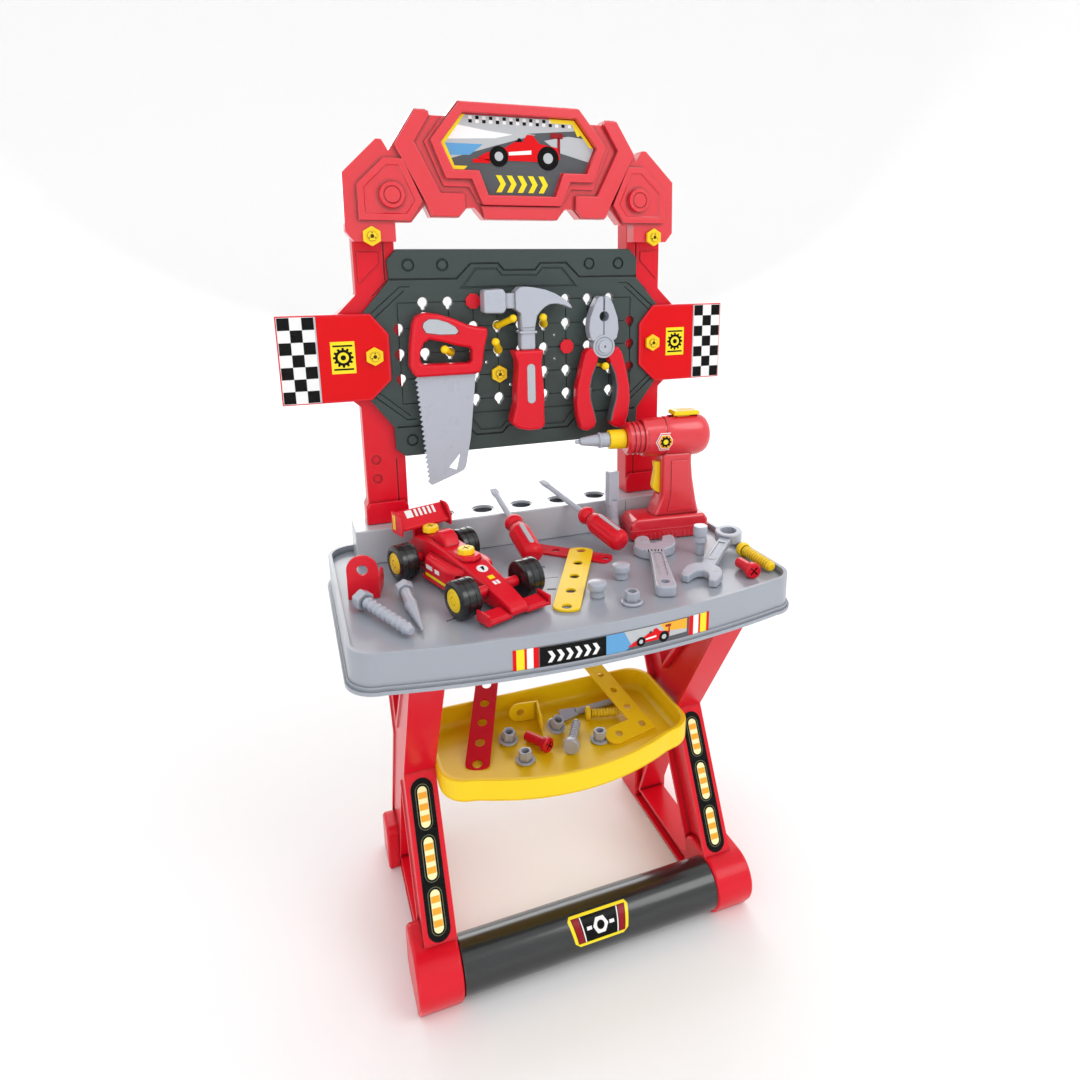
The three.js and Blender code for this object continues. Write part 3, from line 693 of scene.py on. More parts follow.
class MakeWorktop(bpy.types.Operator):
    """Grey worktop tray with a rolled rim, a bottom flange and a printed front strip"""

    bl_idname = "workbench.worktop"
    bl_label = "Worktop"

    def execute(self, _context):
        slots = [
            rod((-10, -108, 439), (-10, -108, 445), 3.2, sides=16),
            plate([(-36, -137.6), (-2, -143), (-2, -141.6), (-36, -136.2)], 439.3, 445, "z"),
            plate(slot_outline(-146, -204, -136, -200, 2, 6), 439, 445, "z"),
            plate(slot_outline(-24, -170, -17, -172, 2, 6), 439, 445, "z"),
        ]
        shell = fuse(
            plate(table_outline(0), TABLE_LOW, TABLE_RIM, "z"),
            add=[plate(table_outline(4), TABLE_LOW, TABLE_LOW + 4, "z"),
                 plate(table_outline(1.6), TABLE_LOW + 2, TABLE_LOW + 8, "z")],
            cut=[plate(table_outline(-4.5), TABLE_FLOOR, 460, "z"),
                 plate(table_outline(-4.5), 395, TABLE_FLOOR - 4, "z")],
        )
        soften(shell, 1.5, 4, limit=50)
        piece("worktop_tray", fuse(shell, cut=[gather(*slots)]), "grey", nodes=["worktop"])
        top, low = 435.0, 410.5
        stack = [("print_slate", rect(-73, 96, low, top), 0),
                 ("print_black", rect(-72, -2, low + 1.2, top - 1.2), 1),
                 ("print_silver", rect(-2, 93, low + 0.6, top - 0.6), 1),
                 ("print_blue", [(-2, low + 0.6), (30, low + 0.6), (18, top - 0.6),
                                 (-2, top - 0.6)], 2),
                 ("print_slate", [(18, low + 0.6), (93, low + 0.6), (93, low + 8),
                                  (26, low + 7)], 2),
                 ("print_orange", [(60, top - 0.6), (66, low + 15), (93, low + 12),
                                   (93, top - 0.6)], 2)]
        for edge, s in ((-73, -1), (96, 1)):
            inner = 0.0
            for look, width in (("print_red", 5.5), ("print_white", 6.5), ("print_red", 2.5),
                                ("print_yellow", 8.0), ("print_red", 3.5)):
                sides = sorted((edge + s * inner, edge + s * (inner + width)))
                stack.append((look, rect(*sides, low, top), 0))
                inner += width
        stack += [("print_white", chevron(-64 + k * 9.4, low + 6, top - 6, 4.2, 3.8), 2)
                  for k in range(6)]
        stack += [(look, points, level + 1) for look, points, level in race_car(49, 424, 0.78)]
        layers("strip_front", stack, lambda p: Vector((p.x, skirt_front(p.x) - 0.35 - p.z, p.y)),
               bend="x", gap=6.0, lift=0.12)
        return {"FINISHED"}


class MakeShelf(bpy.types.Operator):
    """Hollow shelf behind the worktop with five ringed holes"""

    bl_idname = "workbench.rear_shelf"
    bl_label = "Rear shelf"

    def execute(self, _context):
        case = fuse(
            block(-218, 218, -22, 32, TABLE_FLOOR + 0.3, SHELF_TOP),
            cut=[block(-215, 215, -19, 29, 430, SHELF_TOP - 3)],
        )
        soften(case, 2.2, 4, limit=60)
        holes, rings = [], []
        for k in range(-2, 3):
            x, y = k * SHELF_STEP, SHELF_HOLE_Y
            holes.append(rod((x, y, 470), (x, y, 500), 12.5, sides=48))
            rings.append(rod((x, y, SHELF_TOP - 0.9), (x, y, 500), 14.6, 15.4, sides=48))
        lines = [block(s * 140 - 0.7, s * 140 + 0.7, -23, -21.2, 444, 480) for s in (-1, 1)]
        case = fuse(case, cut=[gather(*rings), gather(*holes), gather(*lines)])
        piece("shelf_rear", case, "pale", nodes=["rear_shelf"])
        return {"FINISHED"}


def bin_outline(inset):
    half, back, front, front_steps = 158 - inset, -42 - inset, -190 + inset, 24
    bow = [
        (t / front_steps * (half - 34), front - 8 - 30 * (1 - (t / front_steps) ** 2))
        for t in range(-front_steps + 1, front_steps)
    ]
    left = arc(-half + 34, front + 26, 34, 180, 262, 9)
    right = [(-x, y) for x, y in reversed(left)]
    return (
        arc(half - 30, back - 30, 30, 0, 90, 9) + arc(-half + 30, back - 30, 30, 90, 180, 9)
        + left + bow + right
    )


class MakeLowerTray(bpy.types.Operator):
    """Yellow lower tray with a bowed front, a rounded rim and a filleted floor"""

    bl_idname = "workbench.lower_tray"
    bl_label = "Lower tray"

    def execute(self, _context):
        def low(z):
            return lambda e: all(abs(v.co.z - z) < 0.01 for v in e.verts)

        outer = soften(plate(bin_outline(0), 207, 238, "z"), 9.0, 6, where=low(207))
        inner = soften(plate(bin_outline(5), 209.5, 260, "z"), 8.0, 6, where=low(209.5))
        tray = fuse(outer, cut=[inner])
        soften(tray, 1.8, 4, limit=50)
        piece("tray_lower", tray, "yellow", nodes=["lower_tray"])
        return {"FINISHED"}


# ---- posts, headboard, pegboard and flags ------------------------------------
POST = [
    (150, 484.3), (201, 484.3), (201, 506), (198, 512), (198, 632), (238, 668), (238, 722),
    (195, 764), (195, 846), (148, 846),
]
HEAD = [
    (0, 976), (72, 976), (86, 959), (104, 959), (108, 965), (121, 965), (147, 926), (151, 920),
    (158, 932), (164, 932), (202, 896), (203, 834), (194, 823), (148, 823), (148, 844),
    (130, 844), (114, 863), (108, 850), (75, 850), (65, 861), (56, 861), (45, 848), (0, 848),
]
ARM = [(106, 963), (121, 963.5), (145.5, 926), (112, 862), (107.5, 851), (76, 851), (68, 860),
       (68, 877), (96, 877), (123, 930), (105, 958)]
RIM = [(0, 974), (71, 974), (92, 950), (106, 933), (90, 892), (60, 892), (48, 864), (0, 864)]
STEP = [(84, 957), (91, 957.5), (112, 931), (92, 884), (63, 884), (52, 866), (46, 866), (58, 893),
        (88, 893), (104, 933)]
WINDOW = [(0, 963), (68, 963), (94, 931), (81, 902), (51, 902), (41, 875), (0, 875)]
EAR = [(188, 846), (188, 884), (158, 912), (137, 912), (117, 867), (132, 846)]


class MakePosts(bpy.types.Operator):
    """Hollow posts beside the board, with channels and round recesses"""

    bl_idname = "workbench.posts"
    bl_label = "Posts"

    def execute(self, _context):
        for label, side in (("left", -1), ("right", 1)):
            post = plate(POST, 0, 30)
            sink(post, faces_towards(post, "y", 1), 4.0, 22.0)
            soften(post, 1.8, 3, limit=30)
            cuts = gather(
                plate([(160, 500), (162, 500), (162, 566), (160, 566)], -2, 1.4),
                plate([(160, 780), (162, 780), (162, 850), (160, 850)], -2, 1.6),
                plate([(176, 762), (178, 762), (160, 780), (158, 780)], -2, 1.6),
                *[rod((185, 2.2, z), (185, -2, z), 6.0, 6.6, sides=32) for z in (566, 542)],
            )
            post = fuse(post, cut=[cuts], add=[
                plate([(149.8, 484.5), (201.2, 484.5), (201.2, 504), (196, 512), (154, 512),
                       (149.8, 504)], -3.2, 5, soft=1.4),
                *[rod((185, 4, z), (185, 0.8, z), 3.4, sides=24, soft=0.5) for z in (566, 542)],
                plate([(167, 812), (191, 812), (191, 776), (181, 786), (167, 800)], -1.4, 3,
                      soft=0.9),
            ])
            if side < 0:
                mirrored(post)
            piece(f"side_post_{label}", post, "red", nodes=[f"post_{label}"])
        return {"FINISHED"}


class MakeHeadboard(bpy.types.Operator):
    """Stepped headboard with a framed window, arms, ears and a printed panel"""

    bl_idname = "workbench.headboard"
    bl_label = "Headboard"

    def execute(self, _context):
        base = plate(full(HEAD), -20, -0.3)
        sink(base, faces_towards(base, "y", 1), 4.0, 13.0)
        soften(base, 1.7, 3, limit=30)
        rim = fuse(plate(full(RIM), -29.5, -15), cut=[plate(full(WINDOW), -40, -20.4)])
        soften(rim, 1.4, 3, limit=40)
        parts = [rim, plate([(-45, 848.4), (45, 848.4), (50, 864), (-50, 864)], -26, -10,
                            soft=1.6)]
        for side, turn in ((1, list), (-1, flip)):
            ear = plate(turn(EAR), -27, -15)
            sink(ear, faces_towards(ear, "y", -1), 7.0, 1.5, 0.8)
            soften(ear, 1.5, 3, limit=40)
            parts += [
                plate(turn(ARM), -26.4, -15, soft=1.5), plate(turn(STEP), -23, -15, soft=0.9), ear,
                turned([(0, 0), (14.5, 0), (14.5, 5.6), (13.4, 7.6), (9.8, 7.6), (9.2, 6.9),
                        (8.6, 7.6), (7.6, 8.4), (0, 8.4)], (side * 151, -24, 873),
                       (side * 151, -40, 873), 48),
            ]
        piece("headboard_case", fuse(base, add=parts), "red_bright", nodes=["headboard"])
        frame_line = [(0, 962.2), (67.5, 962.2), (93, 931), (80.4, 903), (50.4, 903), (40.4, 876),
                      (0, 876)]
        stack = [
            ("print_slate", full(frame_line), 0),
            ("print_silver", full([(0, 961.6), (67, 961.6), (75, 951), (0, 944)]), 1),
            ("print_silver", [(-92, 931), (-84, 914), (-30, 930), (20, 944), (-30, 948),
                              (-75, 951)], 2),
            ("print_blue", [(-91, 931), (-85, 918), (-60, 919), (-44, 931)], 3),
            ("print_white", [(-74, 951), (-88, 935), (-30, 938), (-8, 943), (-40, 946)], 4),
            ("print_silver", [(92.6, 931), (86, 916), (50, 925), (30, 938), (60, 944),
                              (83, 942)], 3),
            ("print_yellow", [(-93, 931), (-68, 962), (-64, 962), (-88, 931), (-78, 907),
                              (-63, 907), (-67, 903), (-80.4, 903)], 5),
            ("print_yellow", [(36, 962), (67.5, 962), (92, 932), (88, 932), (76, 946), (72, 944),
                              (65, 957.5), (40, 957.5)], 5),
        ]
        for k in range(16):
            u = -60 + k * 8
            for look, v in zip(("print_white", "print_black"),
                               (953.5, 957.5) if k % 2 else (957.5, 953.5)):
                stack.append((look, rect(u, u + 4, v, v + 3.5), 2))
        stack += [(look, points, level + 4) for look, points, level in race_car(0, 928, 1.72)]
        stack += [("print_yellow", chevron(-30 + k * 13, 879, 898, 6.5, 5.5), 5)
                  for k in range(5)]
        layers("window_panel", stack, lambda p: Vector((p.x, -20.45 - p.z, p.y)), lift=0.14)
        return {"FINISHED"}


BOARD = [(0, 815), (148, 815), (159, 803), (158, 780), (203, 728), (203, 662), (162, 606),
         (161, 578), (150, 569), (0, 569)]
BOARD_MIDDLE = 693.5


class MakePegboard(bpy.types.Operator):
    """Dark board with keyhole-shaped peg holes, engraved lines and two sunk panels"""

    bl_idname = "workbench.pegboard"
    bl_label = "Pegboard"

    def execute(self, _context):
        board = plate(full(BOARD), BOARD_FRONT, -0.3, soft=1.3)
        keys, small = [], []
        for k in range(-5, 6):
            for row in range(-2, 3):
                if abs(k) == 5 and abs(row) == 2:
                    continue
                x, z = k * PITCH, ROW_Z + row * PITCH
                key = arc(x, z, 6.0, -60, 240, 20) + arc(x, z - 6.4, 2.7, 180, 360, 6)
                keys.append(plate(key, -14, 5))
        for x, z in ((45, 709), (45, 679), (-45, 679), (-105, 679), (-15, 649), (75, 649)):
            small.append(rod((x, -14, z), (x, 5, z), 1.9, sides=16))
        rows = [block(-150, 150, -12, BOARD_FRONT + 1.7, z - 0.65, z + 0.65)
                for z in (ROW_Z + r * PITCH for r in range(-2, 3))]
        columns = [block(k * PITCH - 0.65, k * PITCH + 0.65, -12, BOARD_FRONT + 1.7, 634, 754)
                   for k in range(-5, 6)]
        lines, pockets, rims, discs = [], [], [], []
        for way in (lambda v: v, lambda v: 2 * BOARD_MIDDLE - v):
            border = [(u, way(v)) for u, v in ((158, 781), (78.5, 781), (61, 798.3), (27, 798.3),
                                               (20, 790.3), (0, 790.3))]
            whole = border + [(-u, v) for u, v in border[-2::-1]]
            lines.append(plate(stroke(whole, 2.5), -14, BOARD_FRONT + 2.6))
            well = [(u, way(v)) for u, v in ((0, 785.4), (21.6, 785.4), (28.8, 793.4), (56, 793.4),
                                             (76, 769), (0, 769))]
            pockets.append(plate(full(well), -14, BOARD_FRONT + 1.5))
            floor = [(u, way(v)) for u, v in ((0, 783), (22.8, 783), (30, 791), (54, 791),
                                              (69.5, 771.4), (0, 771.4))]
            discs.append(plate(full(floor), BOARD_FRONT + 0.3, -1, soft=0.3))
            for turn in (lambda p: p, flip):
                bar = [(u, way(v)) for u, v in ((134, 772.4), (146, 772.4), (187, 737.5),
                                                (179.5, 735), (141.5, 768))]
                lines.append(plate(stroke(turn(bar), 1.5), -14, BOARD_FRONT + 1.8))
        for x, z in ((-135, 797), (-95, 797), (92, 797), (132, 797), (-141, 589), (141, 589)):
            rims.append(rod((x, -14, z), (x, BOARD_FRONT + 1.8, z), 7.7, sides=48))
            discs.append(turned([(0, -6), (5.3, -6), (5.3, 0.5), (4.7, 1.1), (0, 1.1)],
                                (x, BOARD_FRONT, z), (x, -40, z), 40))
        board = fuse(board, cut=[gather(*rows), gather(*columns), gather(*keys, *small),
                                 gather(*lines), gather(*pockets, *rims)])
        board = fuse(board, add=[gather(*discs)])
        piece("peg_panel", board, "board", nodes=["pegboard"])
        return {"FINISHED"}


FLAG = [(162, 665), (162, 719), (182, 743), (285, 743), (285, 642), (186, 642)]


def gear(u, v, r, teeth=12):
    points = []
    for k in range(teeth):
        for turn, reach in ((-0.30, 0.8), (-0.2, 1.0), (0.2, 1.0), (0.30, 0.8)):
            a = math.tau * (k + turn) / teeth
            points.append((u + r * reach * math.cos(a), v + r * reach * math.sin(a)))
    return points


class MakeFlags(bpy.types.Operator):
    """Red side flags with a chequered edge and a gear label"""

    bl_idname = "workbench.flags"
    bl_label = "Side flags"

    def execute(self, _context):
        for label, side in (("left", -1), ("right", 1)):
            turn = flip if side < 0 else list
            piece(f"side_flag_{label}", plate(turn(FLAG), -12.3, -8.3, soft=1.1), "red",
                  nodes=[f"flag_{label}"])
            stack = [
                ("print_red", turn([(165, 666), (165, 718), (183, 740.5), (243, 740.5),
                                    (243, 644.5), (187, 644.5)]), 0),
                ("print_white", turn(rect(243, 283.5, 643.5, 741.5)), 0),
                ("print_silver", turn(rect(242, 243.6, 643.5, 741.5)), 1),
                ("print_yellow", turn(rect(201.5, 228.5, 675.5, 712.5)), 1),
                ("print_black", gear(side * 215, 694, 11.5), 2),
                ("print_yellow", disc(side * 215, 694, 6.2), 3),
                ("print_black", disc(side * 215, 694, 3.0), 4),
            ]
            for v in (680.5, 707.5):
                stack.append(("print_black", turn(rect(204, 226, v - 1.0, v + 1.0)), 2))
            wide, tall = 39.0 / 3, 97.0 / 7
            for row in range(7):
                for column in range(3):
                    if (row + column) % 2 == 0:
                        stack.append(("print_black", turn(rect(
                            244 + column * wide, 244 + (column + 1) * wide,
                            644 + row * tall, 644 + (row + 1) * tall)), 1))
            layers(f"flag_print_{label}", stack, lambda p: Vector((p.x, -12.4 - p.z, p.y)),
                   lift=0.14)
        return {"FINISHED"}


# ---- nuts, bolts and hooks on the board --------------------------------------
def face_nut(x, z, face, r=11.0):
    nut = soften(rod((x, face, z), (x, face - 5, z), r, sides=6), 0.9, 3, limit=40)
    boss = rod((x, face - 4, z), (x, face - 7, z), 5.2, 4.8, sides=32, soft=0.5)
    notches = []
    for k in range(3):
        a = math.radians(90 + 120 * k)
        end = (x + 8.5 * math.cos(a), face - 6, z + 8.5 * math.sin(a))
        notches.append(rod((x + 3.0 * math.cos(a), face - 6.6, z + 3.0 * math.sin(a)), end, 1.3,
                           sides=12))
    bore = rod((x, face - 1.5, z), (x, face - 9, z), 2.3, sides=24)
    return fuse(nut, add=[boss], cut=[gather(*notches, bore)])


def board_bolt(x, z):
    face = BOARD_FRONT - 0.3
    head = turned([(0, 0), (8.6, 0), (9.4, 0.8), (9.4, 3.0), (8.5, 4.0), (0, 4.2)],
                  (x, face, z), (x, face - 9, z), 48)
    cuts = []
    for k in range(8):
        a = math.tau * k / 8
        at = (x + 10.2 * math.cos(a), z + 10.2 * math.sin(a))
        cuts.append(rod((at[0], face + 1, at[1]), (at[0], face - 9, at[1]), 1.9, sides=16))
    slots = [plate(slot_outline(x - 5 * c, z - 5 * s, x + 5 * c, z + 5 * s, 1.2, 5),
                   face - 9, face - 4.4) for c, s in ((0.7071, 0.7071), (0.7071, -0.7071))]
    return gather(fuse(head, cut=[gather(*cuts), *slots]),
                  rod((x, face + 1, z), (x, 2, z), 4.3, sides=24))


def hook(hole_x, hole_z, tip_x, tip_z):
    tip = (tip_x, TOOL_Y - 9, tip_z)
    return fuse(rod((hole_x, 3, hole_z), (hole_x, -13, hole_z), 4, sides=28, soft=0.8), add=[
        rod((hole_x, -11, hole_z), tip, 4, sides=28), ball((hole_x, -12, hole_z), 4.1),
        rod((hole_x, BOARD_FRONT - 0.05, hole_z), (hole_x, BOARD_FRONT - 1.6, hole_z), 5.4,
            sides=28, soft=0.5), ball(tip, 4.9),
    ])


class MakeBoardFasteners(bpy.types.Operator):
    """Yellow nuts, red knurled bolts and yellow hooks on the headboard, flags and pegboard"""

    bl_idname = "workbench.board_fasteners"
    bl_label = "Board fasteners"

    def execute(self, _context):
        for label, s in (("left", -1), ("right", 1)):
            piece(f"nut_head_{label}", face_nut(s * 175, 829, -20.3), "yellow",
                  nodes=[f"head_nut_{label}"])
            piece(f"nut_flag_{label}", face_nut(s * 180, ROW_Z, -12.95), "yellow",
                  nodes=[f"flag_nut_{label}"])
        piece("nut_board", face_nut(-30, 664, -8.3), "yellow", nodes=["board_nut"])
        piece("bolt_board_upper", board_bolt(-60, 754), "red", nodes=["board_bolt_upper"])
        piece("bolt_board_lower", board_bolt(60, 694), "red", nodes=["board_bolt_lower"])
        for name, place in (
            ("saw_left", (-90, 694, -101, 700)), ("saw_right", (-30, 694, -39, 706)),
            ("hammer_left", (-30, 724, -16.5, 733.5)), ("hammer_right", (30, 724, 22, 733.5)),
        ):
            piece(f"hook_{name}", hook(*place), "yellow", nodes=[f"peg_{name}"])
        bend = fuse(rod((120, 3, 664), (120, -10.8, 664), 2.8, sides=24), add=[
            rod((122, -10.8, 663.5), (102, -10.8, 668.5), 2.6, sides=24),
            ball((120, -10.8, 664), 2.9, 16), rod((104.5, -9.5, 668), (104.5, TOOL_Y - 10, 668), 4,
                                                  sides=28),
            ball((104.5, TOOL_Y - 11, 669), 4.9),
        ])
        piece("hook_pliers", bend, "yellow", nodes=["peg_pliers"])
        return {"FINISHED"}


# ---- hand tools on the board -------------------------------------------------
class MakeSaw(bpy.types.Operator):
    """Saw with a rounded closed grip, a pale inset and a toothed blade"""

    bl_idname = "workbench.saw"
    bl_label = "Saw"

    def execute(self, _context):
        outer = [(-137, 669), (-142.5, 681), (-141, 705), (-137, 731), (-133, 739), (-123, 743.5),
                 (-105, 741), (-87, 735), (-72, 728), (-60, 725), (-47, 723.5), (-48.5, 712),
                 (-52, 700), (-55, 680), (-58, 671), (-64, 668.5), (-132, 668.2)]
        hole = [(-130, 686), (-126, 683.2), (-72, 682.2), (-68.5, 685), (-68, 697), (-71, 700.5),
                (-86, 703.5), (-100, 708), (-118, 712), (-124.5, 708), (-129, 698)]
        grip = fuse(plate(outer, TOOL_Y - 9, TOOL_Y + 9), cut=[plate(hole, -50, 10)])
        soften(grip, 4.4, 5, limit=50)
        inset = [(-127, 727), (-125.5, 732.5), (-119, 736.5), (-108, 736), (-95, 731.5),
                 (-86, 726), (-82, 720), (-86, 716.6), (-106, 717), (-123, 719.6)]
        centre = Vector((-105.0, 727.0))
        inner = [tuple(centre + (Vector(p) - centre) * 0.93) for p in inset]
        grip = fuse(grip, cut=[plate(inset, -40, TOOL_Y - 7.9)])
        piece("saw_handle", grip, "red", "saw", ["saw_grip"])
        piece("saw_handle_inset", plate(inner, TOOL_Y - 9.6, TOOL_Y - 7.8, soft=0.6), "pale",
              "saw")
        top, low, count = (-133.6, 668.0), (-124.0, 536.0), sizes().saw_teeth
        teeth = []
        for k in range(count):
            for turn, push in ((0.0, 0.0), (0.62, -3.4)):
                t = (k + turn) / count
                teeth.append((top[0] + (low[0] - top[0]) * t + push,
                              top[1] + (low[1] - top[1]) * t))
        outline = teeth + [(-124, 534), (-122, 533.5), (-90, 545), (-82.5, 548.5), (-79.5, 553),
                           (-72, 590), (-63, 668)]
        blade = fuse(plate(outline, TOOL_Y - 1.5, TOOL_Y + 1.5),
                     cut=[plate([(-85.5, 571), (-101, 553.5), (-91, 549.5)], -40, 0)])
        soften(blade, 0.45, 2, limit=60)
        piece("saw_sheet", blade, "tool_grey", "saw", ["saw_blade"])
        return {"FINISHED"}


class MakeHammer(bpy.types.Operator):
    """Claw hammer with a square striking face and an inset grip"""

    bl_idname = "workbench.hammer"
    bl_label = "Hammer"

    def execute(self, _context):
        y = HAMMER_Y
        claw = [(-14, 765), (-8, 770.5), (1, 771), (10, 769.8), (24, 767), (36, 762.5), (49, 755),
                (56, 749), (59, 744), (56, 744.2), (48, 748), (38, 750), (30, 749.5), (24, 747),
                (18, 742), (13, 736), (10, 722), (-6.5, 722), (-7.5, 739.5), (-14, 744)]
        parts = [
            plate([(-53, 741), (-53, 768), (-29, 769), (-26, 764), (-26, 745), (-29, 740)],
                  y - 11, y + 11, soft=2.6),
            plate([(-30, 746), (-30, 763), (-12, 764), (-12, 745)], y - 7, y + 7, soft=1.6),
            plate([(-6.5, 712), (-8.5, 738), (12.5, 738), (10.5, 712)], y - 8.6, y + 8.6, soft=3.0),
            plate([(-7.6, 694.8), (-7.6, 716), (10.8, 716), (10.8, 694.8)], y - 8.4, y + 8.4, soft=2.6),
            plate([(-9.2, 715), (-9.2, 718), (12.6, 718), (12.6, 715)], y - 9.6, y + 9.6,
                  soft=0.7),
        ]
        head = fuse(plate(claw, y - 10, y + 10, soft=3.2, steps=4), add=parts,
                    cut=[plate([(40, 747), (64, 738), (64, 750), (44, 757)], y - 1.6, y + 1.6)])
        piece("hammer_top", head, "tool_grey", "hammer", ["hammer_head"])
        side = [(21.5, 694.6), (18.5, 686), (17.5, 676), (19.5, 655), (20.8, 636), (20, 615),
                (21, 600), (16, 594.5), (0, 594), (-14, 597.5), (-22.5, 604), (-21.5, 610),
                (-16.5, 628), (-15.5, 650), (-13.2, 672), (-13.5, 682), (-18.5, 694.6)]
        grip = plate(side, y - 12, y + 12, soft=5.0, steps=5)
        grip = fuse(grip, cut=[plate(slot_outline(3, 634, 3, 673, 5.4, 8), y - 14, y - 11.2)])
        piece("hammer_handle", grip, "red", "hammer", ["hammer_grip"])
        piece("hammer_handle_inset", plate(slot_outline(3, 634, 3, 673, 5.1, 8), y - 12.6, y - 11,
                                           soft=0.6), "pale", "hammer")
        return {"FINISHED"}


PIVOT = (104.0, 694.0)
JAW = [(0.4, 61), (0.4, 15), (2, 7), (11, 5), (18, 10), (20.5, 22), (19, 36), (13, 52), (7.5, 62),
       (3, 63.5)]
HANDLE = [(5, -8), (9, -22), (16, -38), (18.5, -52), (17.5, -68), (12.5, -86), (9.5, -99),
          (13, -106), (22, -109), (31, -107.5), (36, -90), (38, -72), (37, -52), (32, -30),
          (26, -8), (19, 0)]
HANDLE_EDGE = [(8.6, -22), (15.6, -38), (18.1, -52), (17.1, -68), (12.1, -86), (9.1, -99),
               (13, -100), (16.4, -86), (21.4, -68), (22.4, -52), (19.6, -37), (12.6, -21)]


class MakePliers(bpy.types.Operator):
    """Pliers: two crossing halves, soft-edged grips and a ringed pivot"""

    bl_idname = "workbench.pliers"
    bl_label = "Pliers"

    def execute(self, _context):
        near, far = TOOL_Y - 8, TOOL_Y + 8

        def drum(r, y0, y1, soft=0.0):
            return rod((PIVOT[0], y0, PIVOT[1]), (PIVOT[0], y1, PIVOT[1]), r, sides=48, soft=soft)

        def at(points, s):
            moved_points = [(PIVOT[0] + s * u, PIVOT[1] + v) for u, v in points]
            return moved_points if s > 0 else moved_points[::-1]

        for label, body, s, y0, y1 in (("fixed", "pliers", -1, TOOL_Y + 0.3, far),
                                       ("moving", "pliers_moving", 1, near, TOOL_Y - 0.3)):
            other = (near - 6, y0 + 0.3) if s < 0 else (y1 - 0.3, far + 6)
            jaw = plate(at(JAW, s), near, far, soft=2.4, steps=4)
            teeth = [rod((PIVOT[0] + s * 0.6, near - 2, PIVOT[1] + v),
                         (PIVOT[0] + s * 0.6, far + 2, PIVOT[1] + v), 0.9, sides=8)
                     for v in range(47, 61, 3)]
            bite = rod((PIVOT[0], near - 2, PIVOT[1] + 38), (PIVOT[0], far + 2, PIVOT[1] + 38),
                       6.6, sides=40)
            jaw = fuse(jaw, cut=[gather(*teeth, bite), drum(15.4, *other)])
            jaw = fuse(jaw, add=[drum(15, y0, y1, soft=0.8)], cut=[drum(4.3, near - 5, far + 5)])
            if s > 0:
                ring = fuse(drum(12.4, near - 4, near + 0.7), cut=[drum(11.2, near - 9, near + 4)])
                jaw = fuse(jaw, cut=[ring])
            piece(f"pliers_jaw_{label}", jaw, "tool_grey", body, [f"pliers_half_{label}"])
            grip = fuse(plate(at(HANDLE, -s), near, far, soft=3.6, steps=4),
                        cut=[drum(15.4, *other), drum(15.1, y0 - 0.1, y1 + 0.1)])
            piece(f"pliers_grip_{label}", grip, "red", body)
            piece(f"pliers_grip_edge_{label}", plate(at(HANDLE_EDGE, -s), near + 0.8, far - 0.8,
                                                     soft=1.2), "grip_edge", body)
        pin = fuse(drum(4, near - 2, far + 1), add=[drum(8, near - 2.5, near - 0.3, soft=0.7)],
                   cut=[drum(1.6, near - 9, near - 1.4)])
        piece("pliers_pin", pin, "tool_grey", "pliers", ["pliers_pivot"])
        return {"FINISHED"}


# ---- drill -------------------------------------------------------------------
DRILL_AXIS = 576.0
DRILL_FLAT = 22 / 28  # how much narrower than tall the barrel is
DRILL_PLACE = Matrix.Translation((193, -60, 0)) @ Matrix.Rotation(math.radians(-6), 4, "Z")


